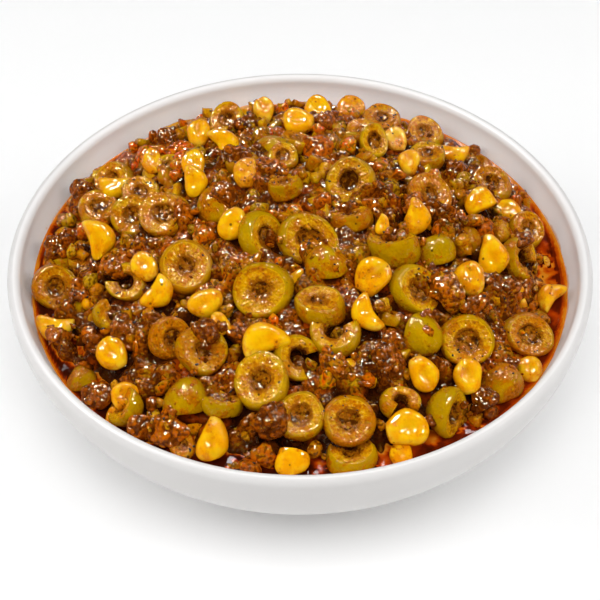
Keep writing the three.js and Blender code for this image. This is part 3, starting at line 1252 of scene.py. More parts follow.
    def add_lump(self, x: float, y: float, size: float, tint: float, allowance: float) -> None:
        """Adds a lump of mince on what lies at a place, if there is room.

        Args:
            x: Where, across.
            y: Where, away from the viewer.
            size: Its radius.
            tint: Its tint.
            allowance: How far it may stand above the dome.
        """
        m = self.pile.map
        i, j = m.index(np.array([x, y]))
        z = float(m.top[i, j]) + size * 0.1
        limit = min(HEAP.highest, float(self.pile.dome[i, j]) + allowance)
        if math.hypot(x, y) > self.grit_reach or z + size * 0.85 > limit:
            return
        stretch = self.rng.uniform(1.0, 1.35)
        grit = Grit(x, y, z, size, stretch, self.rng.uniform(0, math.pi), float(np.clip(tint, 0, 1)))
        box, surface, inside = grit.cover(m, self.rough)
        m.top[box] = np.where(inside, np.maximum(m.top[box], surface), m.top[box])
        self.lumps.append(grit)

    def cling(self) -> None:
        """Heaps clods and lumps in clumps, on top of what lies there."""
        for clump in CLUMPS:
            for _ in range(clump.count // self.lumps_one_in):
                away = self.rng.normal(0, clump.reach * self.lump_spread, 2)
                size = self.rng.triangular(0.7, 1.3, 3.0)
                tint = clump.tone + self.rng.normal(0, 0.2)
                self.add_lump(clump.x + away[0], clump.y + away[1], size, tint, 1.6)
            for _ in range(round(clump.count / self.clods_one_in)):
                away = self.rng.normal(0, clump.reach * self.clod_spread, 2)
                shape = self.clods.make(self.rng.uniform(4.2, 7.6), self.rng)
                x, y = clump.x + away[0], clump.y + away[1]
                self.lay_on("mince_clods", shape, x, y, 3.0, clump.tone, 3.2)

    def lay_on(
        self, kind: str, shape: Shape, x: float, y: float, sink: float, tint: float, allowance: float
    ) -> None:
        """Lays a piece on what lies at a place, if there is room.

        Args:
            kind: Which kind it is kept with.
            shape: The piece about its centre.
            x: Where, across.
            y: Where, away from the viewer.
            sink: How far it settles in.
            tint: Its tint.
            allowance: How far it may stand above the dome.
        """
        found = self.pile.clear_of_wall(self.pile.settle(shape, x, y, sink))
        dome = self.pile.dome[self.pile.map.index(found.corners)]
        if found.corners[:, 2].max() > min(HEAP.highest, dome.max() + allowance):
            return
        self.pile.map.raise_to(found.corners)
        self.keep(kind, found, 0.4, float(np.clip(tint, 0.1, 0.9)))

    def scatter_grits(self) -> None:
        """Fills what is left of the hollows with lumps of mince, lower along the near edge."""
        m = self.pile.map
        for _ in range(self.grits):
            i, j = self.pile.lowest(7)
            x, y = m.x[i, j] + self.rng.uniform(-0.4, 0.4), m.y[i, j] + self.rng.uniform(-0.4, 0.4)
            near_edge = y < 20 and math.hypot(x, y) > 64
            allowance = self.near_grit_depth if near_edge else self.grit_depth
            self.add_lump(x, y, self.rng.triangular(0.8, 1.5, 3.4), self.rng.random(), allowance)

    def scatter_crumbs(self) -> None:
        """Lays loose crumbs about the clumps and in the hollows."""
        m = self.pile.map
        for k in range(self.crumbs):
            size = self.rng.triangular(0.6, 1.1, 3.0)
            shape = self.bit_maker.make(size, self.rng.uniform(0.5, 1.0), 0.34, self.rng)
            if k % 2:
                clump = CLUMPS[self.rng.integers(0, len(CLUMPS))]
                away = self.rng.normal(0, clump.reach * self.crumb_spread, 2)
                x, y = np.array([clump.x, clump.y]) + away
                tint = clump.tone + self.rng.normal(0, 0.2)
            else:
                i, j = self.pile.lowest(6)
                x, y, tint = m.x[i, j], m.y[i, j], self.rng.random()
            if math.hypot(x, y) < self.crumb_reach and not self.clean[m.index(np.array([x, y]))]:
                self.lay_on("mince_crumbs", shape, x, y, 0.5 * size, tint, 2.2)

    def sprinkle_specks(self) -> None:
        """Sprinkles cracked pepper over the top, more in some places than others."""
        m = self.pile.map
        maker = BitMaker(fineness=1)
        crowd = lattice(self.rng, m.x, m.y, 9.0)
        while len(self.loads["pepper_specks"]) < self.specks:
            radius = self.speck_reach * math.sqrt(self.rng.random())
            angle = self.rng.uniform(0, 2 * math.pi)
            x, y = radius * math.cos(angle), radius * math.sin(angle)
            i, j = m.index(np.array([x, y]))
            steep = float(m.top[i, j] - m.top[i - 1 : i + 2, j - 1 : j + 2].min())
            if steep > 0.8 or self.rng.random() > crowd[i, j] ** 3 * 2.6:
                continue
            shape = maker.make(self.rng.triangular(0.3, 0.5, 1.2), 0.7, 0.2, self.rng)
            shape = shape.at(shape.corners * np.array([1.0, self.rng.uniform(0.5, 1.0), 0.4]))
            lean = facing(self.rng.uniform(0, 360), self.rng.uniform(55, 90), self.rng.uniform(0, 360))
            z = min(float(m.top[i, j]) - 0.25 * steep, HEAP.highest) + 0.02
            self.keep("pepper_specks", shape.turned(lean).moved(x, y, z), 0.0, self.rng.random())


# ---- Finishes ----


def put(tree: bpy.types.NodeTree, socket: Socket, value: Value) -> None:
    """Gives a socket its value.

    Args:
        tree: The node tree.
        socket: The input socket.
        value: The socket it is linked to, or the number or colour it is set to.
    """
    if isinstance(value, bpy.types.NodeSocket):
        tree.links.new(value, socket)
    elif isinstance(value, tuple) and socket.type == "RGBA":
        socket.default_value = (*value, 1.0)
    else:
        socket.default_value = value


def add_node(
    tree: bpy.types.NodeTree, kind: str, inputs: dict[str | int, Value], **settings: str | bool
) -> bpy.types.Node:
    """Adds a node.

    Args:
        tree: The node tree that it is added to.
        kind: Its type, without the words that every type starts with.
        inputs: What its inputs are set or linked to.
        settings: Its other settings.

    Returns:
        The node.
    """
    node = tree.nodes.new("ShaderNode" + kind)
    for name, value in settings.items():
        setattr(node, name, value)
    for key, value in inputs.items():
        put(tree, node.inputs[key], value)
    return node


class Nodes:
    """Builds one material out of nodes, with sockets passed from one call to the next."""

    def __init__(self, name: str, own: bool = False) -> None:
        """Starts a material with its shader and its place.

        Args:
            name: The material's name.
            own: Whether patterns follow each part of the piece, instead of the whole object.
        """
        self.material = bpy.data.materials.new(name)
        self.material.use_nodes = True
        self.tree = self.material.node_tree
        self.tree.nodes.clear()
        self.shader = self.node("BsdfPrincipled", {})
        self.node("OutputMaterial", {"Surface": self.shader.outputs["BSDF"]})
        self.unit = 1.0 if own else MM
        if own:
            self.place = self.node("Attribute", {}, attribute_name="own").outputs["Vector"]
        else:
            self.place = self.node("TexCoord", {}).outputs["Object"]

    def node(self, kind: str, inputs: dict[str | int, Value], **settings: str | bool) -> bpy.types.Node:
        """Adds a node to the material, as add_node does."""
        return add_node(self.tree, kind, inputs, **settings)

    def set(self, **values: Value) -> None:
        """Sets or links the shader's sockets, named with underscores for spaces."""
        for name, value in values.items():
            put(self.tree, self.shader.inputs[name.replace("_", " ")], value)

    def glow(self, weight: float, spread: Colour, scale: float) -> None:
        """Lets light through under the surface, spread over a distance for each colour."""
        self.set(Subsurface_Weight=weight, Subsurface_Radius=spread, Subsurface_Scale=scale)

    def look(self) -> tuple[Socket, ...]:
        """The four numbers of a piece's look: tint, sauce, flesh and hollow."""
        source = self.node("Attribute", {}, attribute_name="look")
        return (*self.split(source.outputs["Color"]), source.outputs["Alpha"])

    def split(self, colour: Socket) -> tuple[Socket, ...]:
        """The red, green and blue of a colour."""
        return tuple(self.node("SeparateColor", {"Color": colour}).outputs)

    def turned_away(self) -> Socket:
        """How far the surface turns away from the eye, from 0 to 1 at its outline."""
        return self.node("LayerWeight", {}).outputs["Facing"]

    def shifted(self, shift: float) -> Socket:
        """The place that patterns are laid out on.

        Args:
            shift: How many millimetres it is moved by.

        Returns:
            The socket with the place.
        """
        if shift == 0:
            return self.place
        step = shift * self.unit
        return self.node("Mapping", {"Vector": self.place, "Location": (step, -step, step)}).outputs[0]

    def scatter(self, amount: Socket, reach: float) -> None:
        """Moves the patterns that come after.

        Args:
            amount: How far along the reach, from 0 to 1.
            reach: The longest move, in the units of the place.
        """
        step = self.times(amount, reach)
        step = self.node("CombineXYZ", {0: step, 1: step, 2: step}).outputs[0]
        self.place = self.node("VectorMath", {0: self.place, 1: step}, operation="ADD").outputs[0]

    def noise(self, size: float, detail: float = 3.0, rough: float = 0.55, shift: float = 0.0) -> Socket:
        """A noise pattern.

        Args:
            size: The size of its features in millimetres.
            detail: How many finer layers it has.
            rough: How strong the finer layers are.
            shift: Moves the pattern, so that two of one size differ.

        Returns:
            The socket with a value from 0 to 1.
        """
        place, scale = self.shifted(shift), 1 / (size * self.unit)
        inputs = {"Vector": place, "Scale": scale, "Detail": detail, "Roughness": rough}
        return self.node("TexNoise", inputs).outputs["Fac"]

    def streaks(self, width: float) -> Socket:
        """A noise that only changes round the piece's own middle, as rays.

        Args:
            width: The width of a ray, as a share of its distance from the middle.

        Returns:
            The socket with a value from 0 to 1.
        """
        here = self.place
        self.place = self.node("VectorMath", {0: here}, operation="NORMALIZE").outputs[0]
        rays = self.noise(width, 2.0, 0.6)
        self.place = here
        return rays

    def cells(self, size: float, shift: float = 0.0) -> tuple[Socket, Socket]:
        """The distance from the middle of cells of a size in millimetres, and each one's colour."""
        node = self.node("TexVoronoi", {"Vector": self.shifted(shift), "Scale": 1 / (size * self.unit)})
        return node.outputs["Distance"], node.outputs["Color"]

    def math(self, kind: str, a: Value, b: Value, clamp: bool = False) -> Socket:
        """A sum on two values.

        Args:
            kind: Which sum, in the node's own word.
            a: The first value.
            b: The second.
            clamp: Whether the result is kept between 0 and 1.

        Returns:
            The socket with the result.
        """
        return self.node("Math", {0: a, 1: b}, operation=kind, use_clamp=clamp).outputs[0]

    def plus(self, a: Value, b: Value, clamp: bool = False) -> Socket:
        """One value added to another."""
        return self.math("ADD", a, b, clamp)

    def times(self, a: Value, b: Value, clamp: bool = False) -> Socket:
        """One value times another."""
        return self.math("MULTIPLY", a, b, clamp)

    def ease(
        self, value: Value, low: float, high: float, bottom: Value = 0.0, top: Value = 1.0
    ) -> Socket:
        """Eases a value from one range into another.

        Args:
            value: The value.
            low: Where it starts to change.
            high: Where it ends.
            bottom: The result at low.
            top: The result at high.

        Returns:
            The socket with the result.
        """
        inputs = {"Value": value, "From Min": low, "From Max": high, "To Min": bottom, "To Max": top}
        return self.node("MapRange", inputs, interpolation_type="SMOOTHSTEP").outputs["Result"]

    def mix(self, share: Value, a: Value, b: Value) -> Socket:
        """A colour between two, from 0, all the first, to 1, all the second."""
        return self.node("Mix", {0: share, 6: a, 7: b}, data_type="RGBA").outputs[2]

    def tinge(
        self, base: Value, colour: Value, where: Value, low: float, high: float, most: float = 1.0
    ) -> Socket:
        """Colours a base where a value is high.

        Args:
            base: The colour so far.
            colour: The colour that goes over it.
            where: The value, such as a pattern.
            low: The value up to which nothing changes.
            high: The value from which on the colour is full.
            most: How much of the colour there is then.

        Returns:
            The socket with the new colour.
        """
        return self.mix(self.ease(where, low, high, 0.0, most), base, colour)

    def freckle(self, base: Socket, size: float, share: float, colour: Colour = PEPPER) -> Socket:
        """Puts a dark freckle in some cells of a pattern.

        Args:
            base: The colour under the freckles.
            size: The width of a cell in millimetres.
            share: How many of the cells have one, from 0 to 1.
            colour: The freckles' colour.

        Returns:
            The socket with the new colour.
        """
        far, own = self.cells(size, shift=5.0)
        chosen = self.math("LESS_THAN", self.split(own)[0], share)
        return self.mix(self.times(self.ease(far, 0.12, 0.22, 0.85, 0.0), chosen), base, colour)

    def ramp(self, value: Value, stops: Sequence[tuple[float, Colour]]) -> Socket:
        """A colour off a scale.

        Args:
            value: Where on the scale, from 0 to 1.
            stops: The places and colours that the scale runs through.

        Returns:
            The socket with the colour.
        """
        node = self.node("ValToRGB", {"Fac": value})
        scale = node.color_ramp.elements
        while len(scale) < len(stops):
            scale.new(0.5)
        for element, (place, colour) in zip(scale, stops):
            element.position = place
            element.color = (*colour, 1.0)
        return node.outputs["Color"]

    def bump(self, height: Value, depth: float) -> Socket:
        """Relief too fine to model, of a depth in millimetres."""
        return self.node("Bump", {"Height": height, "Distance": depth * MM}).outputs["Normal"]


@dataclass(frozen=True)
class Granules:
    """Crumbs of spice and mince, finer than rice, that stick wherever sauce lies."""

    size: float = 1.1
    strength: float = 0.85
    scale: tuple[tuple[float, Colour], ...] = (
        (0.0, (0.20, 0.042, 0.001)),
        (0.20, (0.34, 0.075, 0.001)),
        (0.45, (0.50, 0.125, 0.001)),
        (0.68, (0.58, 0.240, 0.002)),
        (0.88, (0.70, 0.420, 0.008)),
        (1.0, (0.70, 0.100, 0.001)),
    )

    def lay(self, n: Nodes, base: Value, cover: Value) -> tuple[Socket, Socket]:
        """Lays the granules over a colour.

        Args:
            n: The material.
            base: The colour under them.
            cover: How thick the sauce lies, from 0 to 1.

        Returns:
            The sockets with the new colour and the granules' relief.
        """
        far, own = n.cells(self.size, shift=27.0)
        pick, hue, _ = n.split(own)
        there = n.ease(n.plus(cover, n.times(pick, 0.5)), 0.72, 0.92)
        there = n.times(there, n.ease(far, 0.22, 0.62, 1.0, 0.0))
        uneven = n.ease(n.noise(self.size * 0.7, 1.0), 0.3, 0.7, -0.12, 0.12)
        colour = n.ramp(n.plus(hue, uneven, clamp=True), self.scale)
        return n.mix(n.times(there, self.strength), base, colour), there


@dataclass(frozen=True)
class Wetness:
    """How an oily finish catches the light, in patches, with dark oil and painted shade in its creases."""

    smooth: float = 0.03
    rough: float = 0.08
    shine: float = 0.6
    depth: float = 0.12
    swell: float = 0.7
    ripple: float = 1.1
    patchy: float = 1.0
    warm: Colour = (1.0, 0.92, 0.60)
    oil: Colour = (0.06, 0.010, 0.001)

    def apply(
        self, n: Nodes, base: Value, granules: Value, deep: Value, crease_oil_and_shade: Value, stirred: Value = 1.0
    ) -> None:
        """Wets a material.

        Args:
            n: The material.
            base: Its colour.
            granules: The relief of the granules on it.
            deep: How deep in a hollow it is, where oil stands smooth.
            crease_oil_and_shade: How much dark oil and painted shade lie in its creases.
            stirred: How uneven its surface is, from 0 to 1.
        """
        wave = n.noise(self.ripple, 0.0, shift=71.0)
        relief = n.plus(granules, n.times(wave, n.times(stirred, self.swell / self.depth)))
        relief = n.times(relief, n.ease(deep, 0.3, 0.8, 1.0, 0.15))
        # painted shade, partly real oil: the valleys of the ripple are darkened towards the oil colour
        crease = n.times(n.ease(wave, 0.32, 0.50, 1.0, 0.0), crease_oil_and_shade, clamp=True)
        dull = self.shine * (1 - 0.9 * self.patchy)
        n.set(
            Base_Color=n.mix(crease, base, self.oil),
            Roughness=n.ease(n.noise(3.2, 1.0, shift=51.0), 0.35, 0.65, self.smooth, self.rough),
            Specular_IOR_Level=n.ease(n.noise(0.8, 1.0, shift=91.0), 0.49, 0.58, dull, self.shine),
            Specular_Tint=self.warm,
            Normal=n.bump(relief, self.depth),
        )


class Finish:
    """What every finish shares: it is made into a material in the same way."""

    own_patterns = True

    def paint(self, n: Nodes) -> None:
        """Paints a material, which each finish does in its own way."""
        raise NotImplementedError

    def make(self, name: str) -> bpy.types.Material:
        """Makes the material of a piece.

        Args:
            name: The material's name.

        Returns:
            The material.
        """
        n = Nodes(name, own=self.own_patterns)
        self.paint(n)
        return n.material


@dataclass(frozen=True)
class OliveFinish(Finish):
    """Green olive: yellow-green skin, ochre flesh with rays, and sauce that stains it."""

    skin_dull: Colour = (0.42, 0.155, 0.0005)
    skin_fresh: Colour = (0.47, 0.265, 0.0005)
    skin_pale: Colour = (0.66, 0.36, 0.001)
    skin_painted_outline_shade: Colour = (0.28, 0.11, 0.0005)
    flesh_brown: Colour = (0.54, 0.175, 0.001)
    flesh_green: Colour = (0.70, 0.33, 0.001)
    rim: Colour = (0.84, 0.46, 0.004)
    fibre: Colour = (0.90, 0.62, 0.12)
    stain: Colour = (0.50, 0.110, 0.001)
    paste: Colour = (0.36, 0.105, 0.003)
    # near-black painted in hollows: partly dark oil, partly painted shade
    deep: Colour = (0.05, 0.009, 0.001)
    granules: Granules = Granules(0.8, 0.6)
    wet: Wetness = Wetness(shine=0.5, swell=0.55, ripple=0.8)

    def skin(self, n: Nodes, tint: Socket) -> Socket:
        """The colour of the skin.

        Args:
            n: The material.
            tint: The olive's tint.

        Returns:
            The socket with the colour.
        """
        skin = n.mix(n.ease(tint, 0.1, 0.9), self.skin_dull, self.skin_fresh)
        skin = n.tinge(skin, self.skin_pale, n.noise(4.5, 3.0, 0.55), 0.45, 0.75, 0.6)
        skin = n.tinge(skin, self.skin_dull, n.noise(2.2, 3.0, 0.6, shift=31.0), 0.5, 0.75, 0.5)
        # painted shade: the skin is darkened towards its outline as seen from the eye
        return n.tinge(skin, self.skin_painted_outline_shade, n.turned_away(), 0.3, 0.9, 0.6)

    def flesh(self, n: Nodes, tint: Socket, streak: Socket, rayed: Socket) -> Socket:
        """The colour of the cut flesh.

        Args:
            n: The material.
            tint: The olive's tint.
            streak: The pattern of rays.
            rayed: How clearly the rays show, from 0 to 1.

        Returns:
            The socket with the colour.
        """
        meat = n.mix(n.ease(tint, 0.15, 0.7), self.flesh_brown, self.flesh_green)
        meat = n.tinge(meat, self.stain, n.noise(2.0, 2.0, 0.6, shift=3.0), 0.4, 0.7, 0.6)
        meat = n.tinge(meat, self.rim, n.noise(1.6, 2.0, 0.6, shift=43.0), 0.5, 0.7, 0.6)
        meat = n.mix(n.times(n.ease(streak, 0.45, 0.62, 0.0, 0.75), rayed), meat, self.rim)
        return n.mix(n.times(n.ease(streak, 0.58, 0.70, 0.0, 0.5), rayed), meat, self.fibre)

    def paint(self, n: Nodes) -> None:
        """Paints a material.

        Args:
            n: The material.
        """
        tint, sauce, flesh, hollow = n.look()
        streak = n.streaks(0.13)
        rayed = n.ease(tint, 0.3, 0.75, 1.0, 0.35)
        n.scatter(tint, 61.0)
        base = n.mix(flesh, self.skin(n, tint), self.flesh(n, tint, streak, rayed))
        edge = n.times(n.ease(flesh, 0.02, 0.3), n.ease(flesh, 0.55, 0.95, 1.0, 0.0))
        base = n.mix(n.times(edge, 0.55), base, self.rim)
        ragged = n.noise(2.6, 4.0, 0.65, shift=11.0)
        cover = n.plus(sauce, n.ease(ragged, 0.2, 0.8, -0.42, 0.42))
        base = n.tinge(base, self.stain, cover, 0.3, 0.7, 0.7)
        torn = n.ease(n.noise(1.4, 3.0, 0.6, shift=37.0), 0.25, 0.75, -0.35, 0.35)
        hollow = n.plus(hollow, n.times(torn, n.ease(hollow, 0.0, 0.4)), clamp=True)
        # sauce paste in the pit; the hollow channel also holds the painted shade of low parts, so these take
        # the paste colour too
        base = n.tinge(base, self.paste, hollow, 0.02, 0.4, 0.9)
        crowd = n.plus(n.plus(cover, n.times(hollow, 0.6)), n.times(flesh, 0.15))
        base, crumbs = self.granules.lay(n, base, crowd)
        # painted shade, partly dark oil: the open hole and low, soaked parts go nearly black
        base = n.tinge(base, self.deep, hollow, 0.62, 1.05, 0.94)
        base = n.freckle(base, 2.3, 0.16)
        crumbs = n.plus(crumbs, n.times(n.times(n.times(streak, flesh), rayed), 1.6))
        stirred = n.ease(n.plus(cover, n.times(flesh, 0.6)), 0.2, 1.0, 0.25, 1.0)
        calm = n.ease(sauce, 0.35, 0.65, 1.0, 0.4)
        crumbs, stirred = n.times(crumbs, calm), n.times(stirred, calm)
        self.wet.apply(n, base, crumbs, hollow, n.ease(cover, 0.45, 1.1, 0.0, 0.5), stirred)
        n.glow(0.15, (1.0, 0.5, 0.06), 0.0016)


@dataclass(frozen=True)
class CornFinish(Finish):
    """Sweetcorn: bright yellow, paler at the tip, with streaks of sauce."""

    yellow: Colour = (0.94, 0.53, 0.003)
    deep: Colour = (0.90, 0.37, 0.001)
    pale: Colour = (0.96, 0.72, 0.06)
    # the colour of the painted shade at a kernel's outline
    shade: Colour = (0.74, 0.24, 0.001)
    stain: Colour = (0.76, 0.24, 0.001)
    fleck: Colour = (0.08, 0.022, 0.003)
    granules: Granules = Granules(0.9)
    wet: Wetness = Wetness(0.04, 0.09, 0.44, swell=0.10, patchy=0.5, warm=(1.0, 0.95, 0.78))

    def paint(self, n: Nodes) -> None:
        """Paints a material.

        Args:
            n: The material.
        """
        tint, sauce, tip, dent = n.look()
        n.scatter(tint, 47.0)
        base = n.tinge(self.yellow, self.deep, n.noise(3.4, 2.0, 0.5), 0.35, 0.65)
        base = n.tinge(base, self.pale, tint, 0.8, 1.0, 0.5)
        base = n.mix(n.times(tip, 0.5), base, self.pale)
        # painted shade: the dent in the crown is darkened to a deeper yellow
        base = n.mix(n.times(dent, 0.5), base, self.deep)
        # painted shade: the kernel is darkened towards its outline as seen from the eye
        base = n.tinge(base, self.shade, n.turned_away(), 0.25, 0.8, 0.7)
        ragged = n.noise(2.4, 3.0, 0.6, shift=13.0)
        cover = n.plus(sauce, n.ease(ragged, 0.2, 0.8, -0.42, 0.56))
        base = n.tinge(base, self.stain, cover, 0.2, 0.7, 0.85)
        base = n.freckle(base, 2.2, 0.06, self.fleck)
        base, crumbs = self.granules.lay(n, base, n.math("SUBTRACT", cover, 0.12))
        self.wet.apply(n, base, crumbs, 0.0, 0.0)
        n.glow(0.2, (1.0, 0.5, 0.04), 0.0016)


@dataclass(frozen=True)
class BitFinish(Finish):
    """Chopped bits: a scale of colours that each bit picks its own from."""

    scale: tuple[tuple[float, Colour], ...]
    stain: Colour = (0.42, 0.085, 0.001)
    deep: Colour = (0.045, 0.008, 0.001)
    granules: Granules = Granules(0.7, 0.6)
    wet: Wetness = Wetness(shine=0.82, swell=0.5, ripple=1.0, patchy=0.93, warm=(1.0, 0.92, 0.62))

    def paint(self, n: Nodes) -> None:
        """Paints a material.

        Args:
            n: The material.
        """
        tint, sauce, _, hollow = n.look()
        uneven = n.ease(n.noise(1.8, 2.0, 0.6), 0.25, 0.75, -0.14, 0.14)
        base = n.ramp(n.plus(tint, uneven, clamp=True), self.scale)
        ragged = n.noise(1.5, 3.0, 0.65, shift=13.0)
        cover = n.plus(sauce, n.ease(ragged, 0.25, 0.75, -0.45, 0.45))
        base = n.tinge(base, self.stain, cover, 0.3, 0.85, 0.6)
        base = n.freckle(base, 1.6, 0.10)
        base, crumbs = self.granules.lay(n, base, cover)
        # painted shade, partly dark oil: low, soaked places and the gaps between a clod's grains go nearly
        # black
        base = n.tinge(base, self.deep, hollow, 0.1, 0.95, 0.94)
        self.wet.apply(n, base, n.times(crumbs, 0.5), hollow, 0.7)
        n.glow(0.1, (1.0, 0.4, 0.06), 0.001)


CHOPPED = BitFinish(
    (
        (0.0, (0.18, 0.040, 0.001)),
        (0.14, (0.42, 0.080, 0.001)),
        (0.30, (0.66, 0.130, 0.001)),
        (0.44, (0.46, 0.170, 0.001)),
        (0.60, (0.40, 0.195, 0.002)),
        (0.74, (0.60, 0.32, 0.003)),
        (0.88, (0.74, 0.17, 0.001)),
        (1.0, (0.72, 0.07, 0.001)),
    )
)
MINCED = BitFinish(
    (
        (0.0, (0.09, 0.017, 0.001)),
        (0.2, (0.19, 0.038, 0.001)),
        (0.42, (0.38, 0.082, 0.001)),
        (0.60, (0.58, 0.130, 0.001)),
        (0.78, (0.46, 0.190, 0.002)),
        (0.92, (0.66, 0.30, 0.004)),
        (1.0, (0.74, 0.12, 0.001)),
    ),
    stain=(0.36, 0.070, 0.001),
)


@dataclass(frozen=True)
class SauceFinish(Finish):
    """The bed between the pieces: fine mince in dark oily sauce."""

    own_patterns = False
    oil: Colour = (0.022, 0.004, 0.001)
    gel: Colour = (0.38, 0.050, 0.001)
    brown: Colour = (0.18, 0.036, 0.001)
    grit: Colour = (0.03, 0.01, 0.003)
    shade: float = 0.66
    granules: Granules = Granules(1.0)
    wet: Wetness = Wetness(shine=0.74, swell=0.4, ripple=1.0, patchy=0.95, warm=(1.0, 0.92, 0.60))

    def paint(self, n: Nodes) -> None:
        """Paints a material.

        Args:
            n: The material.
        """
        tint, grain, _, hollow = n.look()
        uneven = n.ease(n.noise(0.9, 3.0, 0.65), 0.25, 0.75, -0.25, 0.25)
        base = n.ramp(n.plus(tint, uneven, clamp=True), MINCED.scale)
        base = n.tinge(base, self.brown, n.noise(1.3, 3.0, 0.7, shift=23.0), 0.45, 0.7, 0.5)
        base, crumbs = self.granules.lay(n, base, n.math("SUBTRACT", grain, 0.35))
        oil = n.tinge(self.oil, self.gel, n.noise(10.0, 1.0, shift=83.0), 0.52, 0.66)
        bare = n.ease(grain, 0.1, 0.6, 1.0, 0.0)
        base = n.mix(1 - self.shade, base, oil)
        base = n.mix(bare, base, oil)
        # painted shade, in the oil's colour, where the bed lies low between pieces
        base = n.tinge(base, oil, hollow, 0.1, 0.85, 0.9)
        base = n.freckle(base, 1.6, 0.35, self.grit)
        self.wet.apply(n, base, crumbs, bare, 0.8)


@dataclass(frozen=True)
class OilFinish(Finish):
    """Chilli oil: orange where it is thin over the glaze, nearly black red where deep."""

    own_patterns = False
    glint: Colour = (1.0, 0.92, 0.94)
    scale: tuple[tuple[float, Colour], ...] = (
        (0.0, (0.72, 0.24, 0.012)),
        (0.04, (0.66, 0.13, 0.002)),
        (0.12, (0.46, 0.045, 0.001)),
        (0.22, (0.15, 0.013, 0.001)),
        (0.42, (0.055, 0.006, 0.001)),
        (1.0, (0.03, 0.004, 0.001)),
    )

    def paint(self, n: Nodes) -> None:
        """Paints a material.

        Args:
            n: The material.
        """
        depth = n.look()[0]
        cloud = n.ease(n.noise(5.0, 3.0, 0.6), 0.2, 0.8, -0.05, 0.05)
        base = n.ramp(n.plus(depth, cloud, clamp=True), self.scale)
        n.set(Base_Color=base, Roughness=0.07, Specular_IOR_Level=0.05, Specular_Tint=self.glint)


@dataclass(frozen=True)
class SpeckFinish(Finish):
    """Cracked black pepper."""

    black: Colour = (0.010, 0.008, 0.006)
    brown: Colour = (0.055, 0.024, 0.008)

    def paint(self, n: Nodes) -> None:
        """Paints a material.

        Args:
            n: The material.
        """
        base = n.mix(n.ease(n.look()[0], 0.4, 0.9), self.black, self.brown)
        base = n.tinge(base, self.brown, n.noise(0.5, 2.0), 0.5, 0.7, 0.5)
        relief = n.bump(n.noise(0.4, 2.0), 0.1)
        n.set(Base_Color=base, Roughness=0.5, Specular_IOR_Level=0.12, Normal=relief)


@dataclass(frozen=True)
class GlazeFinish(Finish):
    """White glaze, painted lighter inside than outside as painted light, with a film of oil where the pool
    has touched it and a bare foot.
    """

    own_patterns = False
    white: Colour = (0.71, 0.694, 0.684)
    inner_painted_light_white: Colour = (0.82, 0.806, 0.797)
    film: Colour = (0.72, 0.30, 0.035)
    clay: Colour = (0.62, 0.57, 0.50)

    def paint(self, n: Nodes) -> None:
        """Paints a material.

        Args:
            n: The material.
        """
        inner = n.look()[0]
        axes = n.node("SeparateXYZ", {0: n.place}).outputs
        height, away = n.math("DIVIDE", axes["Z"], MM), n.math("DIVIDE", axes["Y"], MM)
        # painted light: the inside of the bowl is painted a lighter white than the outside
        base = n.mix(inner, self.white, self.inner_painted_light_white)
        base = n.tinge(base, self.clay, n.noise(30.0, 2.0, 0.5), 0.3, 0.7, 0.06)
        reach = n.ease(n.noise(9.0, 3.0, 0.6), 0.3, 0.75, 0.25, 1.7)
        above = n.math("DIVIDE", n.math("SUBTRACT", height, HEAP.oil_level), reach)
        near = n.times(inner, n.ease(away, 10.0, 40.0, 1.0, 0.0))
        film = n.times(n.ease(above, 0.5, 1.15, 1.0, 0.0), near, clamp=True)
        smear = n.ease(n.noise(3.2, 4.0, 0.7, shift=31.0), 0.66, 0.74)
        smear = n.times(n.times(smear, n.ease(height, 40.0, 43.5, 1.0, 0.0)), inner, clamp=True)
        share = n.plus(n.times(film, 0.85), n.times(smear, 0.5), clamp=True)
        base = n.mix(share, base, self.film)
        base = n.mix(n.ease(height, 0.25, 0.6, 1.0, 0.0), base, self.clay)
        n.set(
            Base_Color=base,
            Roughness=n.ease(height, 0.25, 0.6, 0.7, 0.42),
            Specular_IOR_Level=0.17,
            Normal=n.bump(n.noise(24.0, 2.0, 0.5, shift=2.0), 0.25),
        )


@dataclass(frozen=True)
class FloorFinish(Finish):
    """A plain pale studio floor."""

    own_patterns = False
    pale: Colour = (0.985, 0.985, 0.985)

    def paint(self, n: Nodes) -> None:
        """Paints a material.

        Args:
            n: The material.
        """
        n.set(Base_Color=self.pale, Roughness=0.9, Specular_IOR_Level=0.1)


# ---- Finished pieces ----


def finished(name: str, shapes: Sequence[Shape], material: bpy.types.Material) -> bpy.types.Object:
    """Joins shapes into one piece of the object, in metres.

    Args:
        name: The piece's name.
        shapes: The shapes, in place.
        material: Its material.

    Returns:
        The piece, riding on the body.
    """
    corners = np.concatenate([s.corners for s in shapes]) * MM
    look = np.concatenate([s.look for s in shapes])
    own = np.concatenate([s.own for s in shapes])
    faces: list[tuple[int, ...]] = []
    start = 0
    for s in shapes:
        faces += [tuple(start + k for k in face) for face in s.faces]
        start += len(s.corners)
    mesh = bpy.data.meshes.new(name)
    mesh.from_pydata(corners.tolist(), [], faces)
    layer = mesh.attributes.new("look", "FLOAT_COLOR", "POINT")
    layer.data.foreach_set("color", look.astype(np.float32).ravel())
    layer = mesh.attributes.new("own", "FLOAT_VECTOR", "POINT")
    layer.data.foreach_set("vector", own.astype(np.float32).ravel())
    mesh.polygons.foreach_set("use_smooth", np.ones(len(mesh.polygons), bool))
    mesh.materials.append(material)
    mesh.update()
    piece = bpy.data.objects.new(name, mesh)
    bpy.context.scene.collection.objects.link(piece)
    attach(piece, "root")
    triangles = sum(len(face) - 2 for face in faces)
    LOG.info("%s: %d parts, %d triangles", name, len(shapes), triangles)
    return piece


